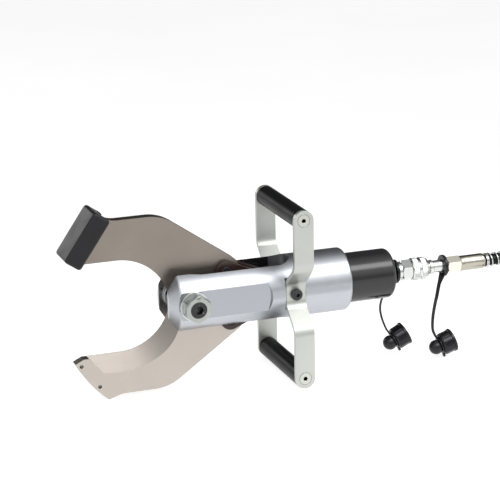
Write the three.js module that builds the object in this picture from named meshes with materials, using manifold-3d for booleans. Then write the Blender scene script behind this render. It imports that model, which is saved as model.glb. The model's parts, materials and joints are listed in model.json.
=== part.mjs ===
// Hydraulic cable cutter head with two crescent blades, a handle frame, a cylinder,
// a screw coupler with dust caps and a hose. Millimetres, +Z up, +X towards the hose.
// Everything is drawn about the blade pivot, then the group is moved so that the tool
// stands on Z = 0 with the middle of its box over the origin.
import * as THREE from 'three';
import * as BufferGeometryUtils from 'three/addons/utils/BufferGeometryUtils.js';
import Module from 'manifold-3d';

const wasm = await Module();
wasm.setup();

// ---------------------------------------------------------------- driving dimensions
const PIVOT_X = -122.501; // where the pivot stands, so that the box is centred
const PIVOT_Z = 112; // height of the pivot over the floor
const GAP = 0.3; // clearance between pieces that touch
const EPS = 1; // how far a cutting tool runs past what it cuts

const BODY_R = 39.3;
const BODY_FRONT = -28;
const BODY_REAR = 205;
const FLAT_Y = 35.3; // half the width across the milled side flats
const SEAT_Y = 34; // half the width across the seats of the handle bars
const SLOT_HALF = 20.6; // half the fork gap, round the links
const CHEEK_HALF = 18; // half the fork gap between the cheeks at the pivot
const CHEEK_END = 16; // where the cheeks end behind the pivot
const SLOT_REAR_CENTRE = 113;
const PIVOT_HOLE_R = 10.3;
const HANDLE_X = 129;
const CROSSHEAD_BORE_R = 27;

const BARREL_R = 31.2;
const BARREL_START = 150.3;
const BARREL_END = 267.5;
const CYLINDER_BORE_R = 22.6;
const CYLINDER_END = 246;

const BLADE_T = 12.8;
const BLADE_INNER = 0.2; // inner face of each blade, from the middle plane
const TAIL = { x: 51.6, z: 28.3 }; // tail pin of each blade, off the middle line
const TAIL_EYE_R = 18.9;
const BOSS_R = 22;
const CRESCENT = { x: -85, z: 9, r: 66 };
const BEVEL_WIDTH = 21.5;
const EDGE_LAND = 0.6; // thickness left at the cutting edge

const LINK_LENGTH = 78;
const LINK_SLACK_ANGLE = 1.87; // set of the links in their enlarged rear eyes, degrees
const LINK_T = 6.8;
const LINK_EYE_R = 13;
const LINK_REAR_HOLE_R = 9.3; // open pivot: it takes up the linkage's play
const CROSSHEAD_PIN_R = 6.3;
const TAIL_PIN_R = 6.5;

const BAR_WIDTH = 25;
const BAR_T = 5;
const BAR_OUTER_Y = 68; // outer face of the side bars
const GRIP_Z = 99.5; // height of each grip's axis over the middle
const GRIP_R = 12.5;
const GRIP_ROD_R = 9;

const NUT_ACROSS_FLATS = 30; // M20
const BOLT_R = 9.85;
const BUSHING_R = 12.5; // in the blades' hole, round the bolt

const GUARD = { x: -124.66, z: 90.56, tilt: 55.2, length: 69, width: 23.5, halfY: 23.5 };
const GUARD_POCKET_R = 157.9;

const HOSE_R = 7;
const HOSE_EXIT = 399.3;
const HOSE_DROP_START = 470;
const DROP_LENGTH = 300;
const COIL = { x: 540, y: -60, inner: 56, outer: 98 };
const COIL_TURN_R = 91; // outermost turn
const COIL_HEIGHT = 2 * HOSE_R;

// ---------------------------------------------------------------- materials
const metal = (color, roughness, metalness = 1) =>
  new THREE.MeshStandardMaterial({ color, roughness, metalness });
const plastic = (color, roughness) =>
  new THREE.MeshStandardMaterial({ color, roughness, metalness: 0 });
const SATIN = () => metal(0xb4bcc4, 0.35);
const BLACK_PAINT = () => plastic(0x17181a, 0.35);
const BLADE = () => metal(0x9c968e, 0.38);
const BAR_PAINT = () => plastic(0xc8cbc3, 0.4);
const STEEL = () => metal(0xa8abae, 0.3);
const ZINC = () => metal(0xc4c8cc, 0.25);
const YELLOW_ZINC = () => metal(0xcfc79c, 0.3);
const BLACK_OXIDE = () => metal(0x26262a, 0.45);
const RUBBER = () => plastic(0x1b1c1e, 0.7);
const LINK_BROWN = () => metal(0x4a2c26, 0.5);
const BRONZE = () => metal(0xa7814a, 0.4);
const SEAL = () => plastic(0x20303a, 0.6);

// ---------------------------------------------------------------- solids
const group = new THREE.Group();
group.position.set(PIVOT_X, 0, PIVOT_Z);

/** A manifold solid of a closed three.js geometry, faces out. */
function solid(geometry) {
  const bare = geometry.clone();
  bare.deleteAttribute('normal');
  bare.deleteAttribute('uv');
  const merged = BufferGeometryUtils.mergeVertices(bare, 1e-4);
  const points = merged.attributes.position.array;
  const index = merged.index.array;
  const triangles = [];
  let volume = 0;
  const corner = (i) => new THREE.Vector3().fromArray(points, 3 * i);
  for (let i = 0; i < index.length; i += 3) {
    const [a, b, c] = [index[i], index[i + 1], index[i + 2]];
    if (a === b || b === c || c === a) continue;
    triangles.push(a, b, c);
    volume += corner(a).dot(corner(b).cross(corner(c)));
  }
  if (volume < 0) triangles.reverse();
  return new wasm.Manifold(new wasm.Mesh({
    numProp: 3,
    vertProperties: new Float32Array(points),
    triVerts: new Uint32Array(triangles),
  }));
}

/** Adds a solid to the group as a named mesh. */
function add(name, body, material) {
  const mesh = body.getMesh();
  const geometry = new THREE.BufferGeometry();
  geometry.setAttribute('position', new THREE.BufferAttribute(mesh.vertProperties, 3));
  geometry.setIndex(new THREE.BufferAttribute(mesh.triVerts, 1));
  geometry.computeVertexNormals();
  const part = new THREE.Mesh(geometry, material);
  part.name = name;
  group.add(part);
}

const AXES = {
  // columns are where the drawing's x, y and z go
  X: new THREE.Matrix4().makeBasis(
    new THREE.Vector3(0, 1, 0), new THREE.Vector3(0, 0, 1), new THREE.Vector3(1, 0, 0)),
  Y: new THREE.Matrix4().makeBasis(
    new THREE.Vector3(1, 0, 0), new THREE.Vector3(0, 0, 1), new THREE.Vector3(0, -1, 0)),
  Z: new THREE.Matrix4(),
};

/** A flat outline pushed along an axis, from low to high. */
function prism(axis, shape, low, high, curveSegments = 12) {
  const options = { depth: high - low, bevelEnabled: false, curveSegments };
  const geometry = new THREE.ExtrudeGeometry(shape, options);
  if (axis === 'Y') geometry.translate(0, 0, -high);
  else geometry.translate(0, 0, low);
  return solid(geometry.applyMatrix4(AXES[axis]));
}

/** A turned solid about an axis through (u, v); profile is [radius, along] pairs. */
function turned(axis, profile, segments = 20, u = 0, v = 0) {
  const points = profile.map(([r, t]) => new THREE.Vector2(r, t));
  const geometry = new THREE.LatheGeometry(points, segments);
  if (axis === 'X') geometry.rotateZ(-Math.PI / 2).translate(0, u, v);
  else if (axis === 'Y') geometry.translate(u, 0, v);
  else geometry.rotateX(Math.PI / 2).translate(u, v, 0);
  return solid(geometry);
}

const rod = (axis, r, low, high, u = 0, v = 0, segments = 20) =>
  turned(axis, [[0, low], [r, low], [r, high], [0, high]], segments, u, v);

const ring = (axis, inner, outer, low, high, u = 0, v = 0, segments = 20) =>
  turned(axis, [[inner, low], [outer, low], [outer, high], [inner, high], [inner, low]],
    segments, u, v);

function hexagon(acrossFlats, turn = 0) {
  const r = acrossFlats / Math.sqrt(3);
  const shape = new THREE.Shape();
  for (let i = 0; i < 6; i++) {
    const a = turn + (i * Math.PI) / 3;
    const point = [r * Math.cos(a), r * Math.sin(a)];
    if (i) shape.lineTo(...point);
    else shape.moveTo(...point);
  }
  return shape;
}

function block(x0, x1, y0, y1, z0, z1) {
  const geometry = new THREE.BoxGeometry(x1 - x0, y1 - y0, z1 - z0);
  return solid(geometry.translate((x0 + x1) / 2, (y0 + y1) / 2, (z0 + z1) / 2));
}

/** A closed skin over rings of points, one ring after another. */
function loft(rings) {
  const n = rings[0].length;
  const points = rings.flat();
  const faces = [];
  for (let i = 0; i + 1 < rings.length; i++) {
    for (let k = 0; k < n; k++) {
      const [a, b] = [i * n + k, i * n + ((k + 1) % n)];
      faces.push(a, b, b + n, a, b + n, a + n);
    }
  }
  const last = (rings.length - 1) * n;
  for (let k = 1; k + 1 < n; k++) {
    faces.push(0, k + 1, k, last, last + k, last + k + 1);
  }
  const geometry = new THREE.BufferGeometry().setFromPoints(points);
  geometry.setIndex(faces);
  return solid(geometry);
}

/** A section swept along a curve through the points. */
function swept(points, section, steps) {
  const path = new THREE.CatmullRomCurve3(points, false, 'centripetal');
  return solid(new THREE.ExtrudeGeometry(section, { steps, extrudePath: path }));
}

function circle(r, sides) {
  const shape = new THREE.Shape();
  for (let i = 0; i < sides; i++) {
    const a = (i * 2 * Math.PI) / sides;
    if (i) shape.lineTo(r * Math.cos(a), r * Math.sin(a));
    else shape.moveTo(r, 0);
  }
  return shape;
}

const overturn = (body) => body.rotate([180, 0, 0]);
const deg = (angle) => (angle * Math.PI) / 180;

// ---------------------------------------------------------------- yoke body
function yokeBody() {
  const [noseR, noseLength, filletR] = [24.3, 12, 4];
  let body = turned('X', [
    [0, BODY_FRONT], [noseR, BODY_FRONT], [BODY_R, BODY_FRONT + noseLength],
    [BODY_R, BODY_REAR - filletR], [BODY_R - 1.2, BODY_REAR - 1.2],
    [BODY_R - filletR, BODY_REAR], [0, BODY_REAR],
  ], 40);
  const [flatEnd, flatEndR, seatHalf] = [99.2, 32, BAR_WIDTH / 2 + GAP];
  for (const side of [-1, 1]) {
    const outwards = (near) => (side > 0 ? [near, BODY_R + EPS] : [-BODY_R - EPS, -near]);
    const [y0, y1] = outwards(FLAT_Y);
    const front = block(BODY_FRONT - EPS, flatEnd - flatEndR, y0, y1, -BODY_R, BODY_R);
    const seat = block(HANDLE_X - seatHalf, HANDLE_X + seatHalf, ...outwards(SEAT_Y),
      -BODY_R, BODY_R);
    body = body.subtract(front).subtract(rod('Y', flatEndR, y0, y1, flatEnd - flatEndR, 0, 32));
    body = body.subtract(seat);
    const [h0, h1] = outwards(SEAT_Y - 11);
    body = body.subtract(rod('Y', 4.3, h0, h1, HANDLE_X, 0, 16));
  }
  const reach = BODY_R + EPS;
  const slot = block(BODY_FRONT - EPS, CHEEK_END + EPS, -CHEEK_HALF, CHEEK_HALF, -reach, reach)
    .add(block(CHEEK_END, SLOT_REAR_CENTRE, -SLOT_HALF, SLOT_HALF, -reach, reach))
    .add(rod('Z', SLOT_HALF, -reach, reach, SLOT_REAR_CENTRE, 0, 28));
  const bores = rod('X', CROSSHEAD_BORE_R, SLOT_REAR_CENTRE - 13, BARREL_START, 0, 0, 28)
    .add(rod('X', BARREL_R + GAP, BARREL_START - GAP, BODY_REAR + EPS, 0, 0, 28));
  return body.subtract(slot).subtract(bores)
    .subtract(rod('Y', PIVOT_HOLE_R, -reach, reach, 0, 0, 24));
}

// ---------------------------------------------------------------- blades
/** The lower blade's outline in X and Z; the upper one is the same piece turned over. */
function bladeOutline() {
  const [tipX, tipZ] = [-133, -57];
  const [noseX, noseZ] = [-143.5, -62];
  const [heelX, heelZ] = [-103.7, -112];
  const [flatStart, flatEnd, flatZ, filletR] = [-87.5, -45, -106.5, 55.3];
  const slope = 0.61; // angle of the back towards the tail, radians
  const eye = { x: TAIL.x, z: -TAIL.z };
  const span = Math.hypot(eye.x, eye.z);
  const upper = Math.atan2(eye.z, eye.x) + Math.acos((BOSS_R - TAIL_EYE_R) / span);
  const shape = new THREE.Shape();
  shape.moveTo(tipX, tipZ);
  shape.lineTo(noseX, noseZ);
  shape.quadraticCurveTo(-129.1, -90.8, heelX, heelZ);
  shape.lineTo(flatStart, flatZ);
  shape.lineTo(flatEnd, flatZ);
  shape.absarc(flatEnd, flatZ + filletR, filletR, -Math.PI / 2, slope - Math.PI / 2, false);
  shape.absarc(eye.x, eye.z, TAIL_EYE_R, slope - Math.PI / 2, upper, false);
  shape.absarc(0, 0, BOSS_R, upper, deg(198), false);
  shape.absarc(CRESCENT.x, CRESCENT.z, CRESCENT.r, deg(-13.9), deg(-90), true);
  return shape;
}

/** The wedge that grinding takes off the near face along the cutting edge. */
function bevelWedge() {
  const [inner, outer] = [-BLADE_INNER - EDGE_LAND, -BLADE_INNER - BLADE_T];
  const rings = [];
  const section = (edge, back, over) => {
    const at = (t) => new THREE.Vector3(
      edge.x + (back.x - edge.x) * t, inner + (outer - inner) * t, edge.z + (back.z - edge.z) * t);
    const [open, far] = [at(-over), at(1 + over)];
    rings.push([open, far, new THREE.Vector3(open.x, far.y - EPS, open.z)]);
  };
  section({ x: -126.6, z: -57 }, { x: -110, z: -77.5 }, 0.12);
  const turns = 7;
  for (let i = 0; i <= turns; i++) {
    const a = deg(-90 + (78 * i) / turns);
    const past = Math.max(0, (a - deg(-55)) / deg(55));
    const width = BEVEL_WIDTH * (1 - past * past);
    const at = (r) => ({ x: CRESCENT.x + r * Math.cos(a), z: CRESCENT.z + r * Math.sin(a) });
    section(at(CRESCENT.r), at(CRESCENT.r + width), 0.12);
  }
  return loft(rings);
}

const GUARD_HOLES = [[-136.1, -65.7], [-114.4, -94.1]];

function lowerBlade() {
  const [y0, y1] = [-BLADE_INNER - BLADE_T, -BLADE_INNER];
  let blade = prism('Y', bladeOutline(), y0, y1, 9);
  blade = blade.subtract(rod('Y', BUSHING_R + GAP, y0 - EPS, y1 + EPS, 0, 0, 20));
  blade = blade.subtract(rod('Y', TAIL_PIN_R + GAP, y0 - EPS, y1 + EPS, TAIL.x, -TAIL.z, 16));
  for (const [x, z] of GUARD_HOLES) {
    blade = blade.subtract(rod('Y', 2.4, y0 - EPS, y1 + EPS, x, z, 12));
  }
  return blade.subtract(bevelWedge());
}

// ---------------------------------------------------------------- linkage
const LINK_LAYERS = { outer: -20.3, inner: 0.7 }; // lower face of each of a pair of links
const PIN_REST_X = TAIL.x + Math.sqrt(LINK_LENGTH ** 2 - TAIL.z ** 2);

/** A lower link: front eye on the tail pin, rear eye round the crosshead pin. */
function lowerLink(y0) {
  const angle = Math.asin(TAIL.z / LINK_LENGTH) + deg(LINK_SLACK_ANGLE);
  const y1 = y0 + LINK_T;
  const shape = new THREE.Shape();
  shape.absarc(0, 0, LINK_EYE_R, Math.PI / 2, (3 * Math.PI) / 2, false);
  shape.absarc(LINK_LENGTH, 0, LINK_EYE_R, -Math.PI / 2, Math.PI / 2, false);
  return prism('Y', shape, y0, y1, 7)
    .subtract(rod('Y', TAIL_PIN_R + GAP, y0 - EPS, y1 + EPS, 0, 0, 20))
    .subtract(rod('Y', LINK_REAR_HOLE_R, y0 - EPS, y1 + EPS, LINK_LENGTH, 0, 20))
    .rotate([0, -(angle * 180) / Math.PI, 0])
    .translate([TAIL.x, 0, -TAIL.z]);
}

/** A tail pin with its head on the near side and a riveted collar on the far side. */
function lowerTailPin() {
  const [near, far] = [-20.4, 7.6];
  return turned('Y', [
    [0, near], [TAIL_PIN_R - 0.6, near], [TAIL_PIN_R, near + 0.6],
    [TAIL_PIN_R, far - 0.6], [TAIL_PIN_R - 0.6, far], [0, far],
  ], 20, TAIL.x, -TAIL.z);
}

function crosshead() {
  const [y0, y1, base, baseEnd, baseR] = [8.1, 12.9, 140.6, 149.5, 20];
  const tongue = new THREE.Shape();
  tongue.absarc(PIN_REST_X, 0, 12, Math.PI / 2, (3 * Math.PI) / 2, false);
  tongue.lineTo(base + EPS, -12);
  tongue.lineTo(base + EPS, 12);
  const plates = prism('Y', tongue, y0, y1, 10).add(prism('Y', tongue, -y1, -y0, 10));
  const neckR = 7.2;
  return rod('X', baseR, base, baseEnd, 0, 0, 32).add(plates)
    .add(rod('X', neckR, baseEnd - EPS, baseEnd + 8, 0, 0, 20))
    .subtract(rod('Y', CROSSHEAD_PIN_R + GAP, -y1 - EPS, y1 + EPS, PIN_REST_X, 0, 20));
}

// ---------------------------------------------------------------- cylinder
function barrel() {
  const [grooveX, grooveWidth, grooveR] = [160, 3, BARREL_R - 1.8];
  const [filletR, portR, bossBoreR, bossBoreX] = [5, 4, 8.4, 256];
  const outer = [
    [CYLINDER_BORE_R, BARREL_START], [BARREL_R, BARREL_START], [BARREL_R, grooveX],
    [grooveR, grooveX], [grooveR, grooveX + grooveWidth], [BARREL_R, grooveX + grooveWidth],
    [BARREL_R, BARREL_END - filletR], [BARREL_R - 1.5, BARREL_END - 1.5],
    [BARREL_R - filletR, BARREL_END], [bossBoreR, BARREL_END], [bossBoreR, bossBoreX],
    [portR, bossBoreX], [portR, CYLINDER_END], [CYLINDER_BORE_R, CYLINDER_END],
    [CYLINDER_BORE_R, BARREL_START],
  ];
  return turned('X', outer, 28);
}

const ROD_R = 11;
const ROD_BORE_R = 7.6;
const PISTON = { start: 222, end: 244, r: 22.3 };
const SEAL_GROOVE = { start: 230, end: 236, r: 19.5 };
const WEAR_GROOVE = { start: 224.6, end: 228, r: 20.6 };

function piston() {
  const bore = ROD_R + GAP;
  return turned('X', [
    [bore, PISTON.start], [PISTON.r, PISTON.start], [PISTON.r, WEAR_GROOVE.start],
    [WEAR_GROOVE.r, WEAR_GROOVE.start], [WEAR_GROOVE.r, WEAR_GROOVE.end],
    [PISTON.r, WEAR_GROOVE.end], [PISTON.r, SEAL_GROOVE.start],
    [SEAL_GROOVE.r, SEAL_GROOVE.start], [SEAL_GROOVE.r, SEAL_GROOVE.end],
    [PISTON.r, SEAL_GROOVE.end], [PISTON.r, PISTON.end], [bore, PISTON.end],
    [bore, PISTON.start],
  ]);
}

const inGroove = (groove) => ring('X', groove.r + GAP, PISTON.r + 0.1,
  groove.start + GAP, groove.end - GAP);

// ---------------------------------------------------------------- pivot
function pivotBolt() {
  const [headFace, headHeight, end, socketAF, socketDepth] = [38.5, 11.7, -54.4, 8, 5];
  const shank = turned('Y', [
    [0, end], [BOLT_R - 1, end], [BOLT_R, end + 1], [BOLT_R, headFace + EPS],
    [0, headFace + EPS],
  ], 28);
  const head = prism('Y', hexagon(NUT_ACROSS_FLATS, Math.PI / 6), headFace,
    headFace + headHeight);
  const socket = prism('Y', hexagon(socketAF), end - EPS, end + socketDepth);
  return shank.add(head).subtract(socket);
}

function pivotNut() {
  const [outer, inner, chamferR] = [-53.6, -38.5, 15.4];
  const cone = turned('Y', [
    [0, outer], [chamferR, outer], [chamferR + 3, outer + 1.7], [chamferR + 3, inner],
    [0, inner],
  ], 36);
  return prism('Y', hexagon(NUT_ACROSS_FLATS, Math.PI / 6), outer, inner).intersect(cone)
    .subtract(rod('Y', BOLT_R + GAP, outer - EPS, inner + EPS, 0, 0, 28));
}

// ---------------------------------------------------------------- handle frame
/** The far side bar: a strip joggled outwards, with round ends. */
function farHandleBar() {
  const seatY = SEAT_Y + GAP;
  const outerY = BAR_OUTER_Y - BAR_T;
  const [bend, out, end] = [15, 40, GRIP_Z + GRIP_R];
  const joggle = Math.atan2(outerY - seatY, out - bend);
  const shift = BAR_T * Math.tan(joggle / 2); // how far the outer face's bends move
  const side = [[seatY, bend], [outerY, out], [outerY, end], [outerY + BAR_T, end],
    [outerY + BAR_T, out - shift], [seatY + BAR_T, bend - shift]];
  const strip = new THREE.Shape();
  strip.moveTo(...side[0]);
  for (const point of side.slice(1)) strip.lineTo(...point);
  for (const [y, z] of side.slice().reverse()) strip.lineTo(y, -z);
  const [x0, x1] = [HANDLE_X - BAR_WIDTH / 2, HANDLE_X + BAR_WIDTH / 2];
  const face = new THREE.Shape();
  face.absarc(HANDLE_X, GRIP_Z, BAR_WIDTH / 2, 0, Math.PI, false);
  face.absarc(HANDLE_X, -GRIP_Z, BAR_WIDTH / 2, Math.PI, 2 * Math.PI, false);
  let bar = prism('X', strip, x0, x1).intersect(prism('Y', face, 0, BAR_OUTER_Y + EPS, 9));
  bar = bar.subtract(rod('Y', 4.3, 0, BAR_OUTER_Y, HANDLE_X, 0, 16));
  for (const z of [-GRIP_Z, GRIP_Z]) bar = bar.subtract(screwCone(GAP, z));
  return bar;
}

/** The shape of a countersunk end screw, grown by some clearance for its hole. */
function screwCone(grow, z) {
  const [top, headR, shankR, coneDepth, end] = [BAR_OUTER_Y, 7.6, 4, 3.6, 50];
  return turned('Y', [
    [0, end], [shankR + grow, end], [shankR + grow, top - coneDepth - grow],
    [headR + grow, top - grow], [headR + grow, top + grow], [0, top + grow],
  ], 20, HANDLE_X, z);
}

function farEndScrew(z) {
  const [socketAF, socketDepth] = [5, 3];
  const socket = prism('Y', hexagon(socketAF), BAR_OUTER_Y - socketDepth, BAR_OUTER_Y + EPS);
  return screwCone(0, z).subtract(socket.translate([HANDLE_X, 0, z]));
}

function farCentreScrew() {
  const [seat, headR, headHeight, shankR, end] = [SEAT_Y + BAR_T + 2 * GAP, 7.2, 5.2, 4, 27];
  const head = turned('Y', [
    [0, end], [shankR, end], [shankR, seat], [headR, seat], [headR, seat + headHeight - 2],
    [headR - 2, seat + headHeight], [0, seat + headHeight],
  ], 20, HANDLE_X, 0);
  const socket = prism('Y', hexagon(5), seat + headHeight - 3, seat + headHeight + EPS);
  return head.subtract(socket.translate([HANDLE_X, 0, 0]));
}

function gripRod(z) {
  const half = BAR_OUTER_Y - BAR_T - GAP;
  let body = rod('Y', GRIP_ROD_R, -half, half, HANDLE_X, z, 20);
  for (const side of [-1, 1]) {
    const [y0, y1] = side > 0 ? [48, half + EPS] : [-half - EPS, -48];
    body = body.subtract(rod('Y', 4.3, y0, y1, HANDLE_X, z, 16));
  }
  return body;
}

// ---------------------------------------------------------------- tip guard
function tipGuard() {
  const { length, width, halfY } = GUARD;
  const edge = 4;
  const outline = new THREE.Shape();
  outline.moveTo(-halfY, -width / 2);
  outline.lineTo(halfY, -width / 2);
  outline.lineTo(halfY, width / 2 - edge);
  outline.lineTo(halfY - edge, width / 2);
  outline.lineTo(edge - halfY, width / 2);
  outline.lineTo(-halfY, width / 2 - edge);
  let body = prism('X', outline, -length / 2, length / 2)
    .rotate([0, -GUARD.tilt, 0]).translate([GUARD.x, 0, GUARD.z]);
  const pocketHalf = BLADE_INNER + BLADE_T + 0.4;
  body = body.subtract(rod('Y', GUARD_POCKET_R, -pocketHalf, pocketHalf, 0, 0, 120));
  for (const [x, z] of GUARD_HOLES) {
    body = body.subtract(rod('Y', 2.4, pocketHalf - EPS, halfY + EPS, x, -z, 12));
  }
  return body;
}

function guardScrew([x, z]) {
  const [under, headR, headHeight, end] = [GUARD.halfY + GAP, 4, 2.4, 1];
  return turned('Y', [
    [0, end], [2.05, end], [2.05, under], [headR, under], [headR, under + headHeight - 1],
    [headR - 1.2, under + headHeight], [0, under + headHeight],
  ], 16, x, -z);
}

// ---------------------------------------------------------------- couplings
function couplerSocket() {
  const [collarStart, hexStart, hexEnd, tubeEnd] = [279.4, 283.8, 297, 318.5];
  const [collarR, tubeR, boreR, socketR, socketStart] = [11.5, 10.7, 5, 8.1, 302];
  return turned('X', [
    [boreR, collarStart], [collarR, collarStart], [collarR, hexStart + EPS],
    [tubeR, hexStart + EPS], [tubeR, tubeEnd], [socketR, tubeEnd], [socketR, socketStart],
    [boreR, socketStart], [boreR, collarStart],
  ], 24).add(prism('X', hexagon(24, Math.PI / 6), hexStart, hexEnd)
    .subtract(rod('X', socketR, hexStart - EPS, hexEnd + EPS, 0, 0, 24)));
}

function couplerSleeve() {
  const [bore, low, high, grooveR] = [11, 14, 14.4, 12.9];
  return turned('X', [
    [bore, 297.6], [low - 1, 297.6], [low, 298.6], [low, 306], [grooveR, 306.8],
    [grooveR, 308.6], [high - 0.4, 309.4], [high - 0.4, 316], [12.4, 319.4],
    [bore, 319.4], [bore, 297.6],
  ]);
}

function couplerPlug() {
  const [start, end, boreR] = [302.4, 346.9, 3.5];
  return turned('X', [
    [boreR, start], [6.8, start], [7.8, start + 1.5], [7.8, 322], [9.2, 323],
    [9.2, 327], [7.8, 328], [7.8, end], [boreR, end], [boreR, start],
  ], 20);
}

const PLUG_HEX = { start: 347.2, length: 17.8, acrossFlats: 19, boreR: 3.5 };

function hoseHex(start) {
  const { length, acrossFlats, boreR } = PLUG_HEX;
  return prism('X', hexagon(acrossFlats, Math.PI / 6), start, start + length)
    .subtract(rod('X', boreR, start - EPS, start + length + EPS, 0, 0, 16));
}

/** A crimped ferrule, from start to end along X. */
function ferrule(start, end) {
  const [r, boreR, nose] = [9.7, 3.5, 1.4];
  return turned('X', [
    [boreR, start], [r - nose, start], [r, start + nose], [r, end - nose], [r - nose, end],
    [boreR, end], [boreR, start],
  ], 20);
}

function portAdaptor() {
  const [start, end, boreR, r] = [256.3, 279.1, 4, 8];
  return turned('X', [
    [boreR, start], [r, start], [r, 267.8], [10.2, 268], [10.2, 272.5], [r - 0.5, 273.5],
    [r - 0.5, end], [boreR, end], [boreR, start],
  ], 20);
}

// ---------------------------------------------------------------- dust caps
const CAP_DEPTH = 15;
const CAP_NECK_R = 7.4;
const CAP_1 = { mouthR: 15.2, x: 291.8, y: 0, z: -82.7, pitch: 26.6 };
const CAP_2 = { mouthR: 15, x: 343.5, y: -30, z: -89.4, pitch: 18 };

/** Moves a piece drawn along X, with the cap's mouth at zero, to where the cap hangs. */
const onCap = (body, cap) => body.rotate([0, -cap.pitch, 0]).translate([cap.x, cap.y, cap.z]);

/** A strap: its ring round a coupling's neck, a cord, and its ring round the cap's neck. */
function capStrap(x, inner, outer, path, cap) {
  const [bandR, width, endR] = [1.5, 4, 10.8];
  const points = path.map(([px, py, pz]) => new THREE.Vector3(px, py, pz));
  const [end0, end1] = [-CAP_DEPTH - 4.1, -CAP_DEPTH - 2.4];
  return ring('X', inner, outer, x, x + width).add(swept(points, circle(bandR, 6), 16))
    .add(onCap(ring('X', CAP_NECK_R + GAP, endR, end0, end1, 0, 0, 16), cap));
}

/** A cup with a domed end behind, its mouth facing +X before it is turned. */
function dustCap(cap) {
  const [wall, domeR, floor, r] = [2.2, 9.3, -CAP_DEPTH, cap.mouthR];
  return onCap(turned('X', [
    [0, floor - 18], [5, floor - 16.9], [8.2, floor - 13.4], [domeR, floor - 9],
    [domeR - 0.6, floor - 5.4], [CAP_NECK_R, floor - 4.5], [CAP_NECK_R, floor - 2.1],
    [r - 2.6, floor - 2], [r - 1.2, floor], [r - 1, -3.4], [r, -3], [r, 0], [r - wall, 0],
    [r - wall - 0.6, floor + 0.6], [0, floor + 0.6],
  ], 20), cap);
}

const STRAP_1 = [[276.2, 3, -11.6], [273.5, 10, -24], [268.5, 15, -34.5], [265.2, 16, -42.4],
  [263.4, 15, -51.2], [263.4, 12, -59.8], [264.6, 7.5, -68.2], [266.6, 3.5, -75.4],
  [268.9, 1, -79.6], [270.7, 0.3, -81.6]];
const STRAP_2 = [[342, -2, -9.4], [336, -5, -22], [331.7, -8, -35.7], [327.3, -12, -45.1],
  [322, -18, -57.4], [319.3, -22, -66.5], [318, -25.6, -74], [319, -28.2, -79.5],
  [321, -29.6, -83.4], [322.9, -30, -85.4]];

// ---------------------------------------------------------------- hose
const RAMP_ARC_R = -COIL.y; // plan radius of the quarter turn onto the coil
const FLOOR_DROP = PIVOT_Z - HOSE_R;

/** Where the hose's middle line is, s millimetres after it starts to fall. */
function hoseAt(s) {
  const straight = COIL.x + COIL_TURN_R - RAMP_ARC_R - HOSE_DROP_START;
  const arc = (RAMP_ARC_R * Math.PI) / 2;
  const z = (-FLOOR_DROP / 2) * (1 - Math.cos((Math.PI * Math.min(s, DROP_LENGTH)) / DROP_LENGTH));
  if (s < straight) return new THREE.Vector3(HOSE_DROP_START + s, 0, z);
  const onArc = s < straight + arc;
  const [r, cx] = onArc ? [RAMP_ARC_R, COIL.x + COIL_TURN_R - RAMP_ARC_R] : [COIL_TURN_R, COIL.x];
  const turn = onArc ? Math.PI / 2 - (s - straight) / r : -(s - straight - arc) / r;
  return new THREE.Vector3(cx + r * Math.cos(turn), COIL.y + r * Math.sin(turn), z);
}

function hoseLead() {
  const clear = COIL_HEIGHT + HOSE_R + 4; // height of the end over the floor, above the coil
  const end = DROP_LENGTH * (1 - Math.acos(1 - (2 * (clear - HOSE_R)) / FLOOR_DROP) / Math.PI);
  const [steps, plainSteps] = [14, 2];
  const points = [];
  for (let i = 0; i < plainSteps; i++) {
    points.push(new THREE.Vector3(
      HOSE_EXIT + ((HOSE_DROP_START - HOSE_EXIT) * i) / plainSteps, 0, 0));
  }
  for (let i = 0; i <= steps; i++) points.push(hoseAt((end * i) / steps));
  return swept(points, circle(HOSE_R, 10), 16);
}

const FLOOR = -PIVOT_Z;
const FAR_END = { x: COIL.x - 71.9, y: COIL.y + 0.3, z: FLOOR + COIL_HEIGHT + 11.4 };

/** A piece drawn along +X from its own zero, turned to lie along +Y on top of the coil. */
const onCoil = (body) => body.rotate([0, 0, 90]).translate([FAR_END.x, FAR_END.y, FAR_END.z]);

function hoseCoil() {
  return turned('Z', [
    [COIL.inner, FLOOR + 0.1], [COIL.outer, FLOOR + 0.1],
    [COIL.outer, FLOOR + COIL_HEIGHT], [COIL.inner, FLOOR + COIL_HEIGHT],
    [COIL.inner, FLOOR + 0.1],
  ], 40, COIL.x, COIL.y);
}

function farFitting() {
  const [hexStart, hexLength, nose] = [34.6, 14, 70];
  return prism('X', hexagon(19), hexStart, hexStart + hexLength).add(turned('X', [
    [3.5, hexStart + EPS], [8.2, hexStart + EPS], [8.2, nose - 16], [7.8, nose - 15],
    [7.8, nose - 1.5], [6.8, nose], [3.5, nose], [3.5, hexStart + EPS],
  ], 24)).subtract(rod('X', 3.5, hexStart - EPS, nose + EPS, 0, 0, 16));
}

// ---------------------------------------------------------------- assembly
add('yoke_body', yokeBody(), SATIN());
add('barrel', barrel(), BLACK_PAINT());
add('barrel_o_ring', ring('X', BARREL_R - 1.5, BARREL_R + 0.1, 160.3, 162.7, 0, 0, 28), SEAL());
add('rod_guide', ring('X', ROD_R + GAP, CYLINDER_BORE_R - GAP, 152, 162), BRONZE());
add('piston', piston(), STEEL());
add('piston_seal', inGroove(SEAL_GROOVE), SEAL());
add('piston_wear_ring', inGroove(WEAR_GROOVE), BRONZE());
add('piston_rod', ring('X', ROD_BORE_R, ROD_R, 149.8, PISTON.end - 0.5, 0, 0, 24), STEEL());
add('return_spring', ring('X', 5, 6.9, 160, CYLINDER_END - GAP, 0, 0, 16), STEEL());
add('crosshead', crosshead(), STEEL());
add('crosshead_pin', rod('Y', CROSSHEAD_PIN_R, -20.2, 20.2, PIN_REST_X, 0, 20), STEEL());

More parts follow.
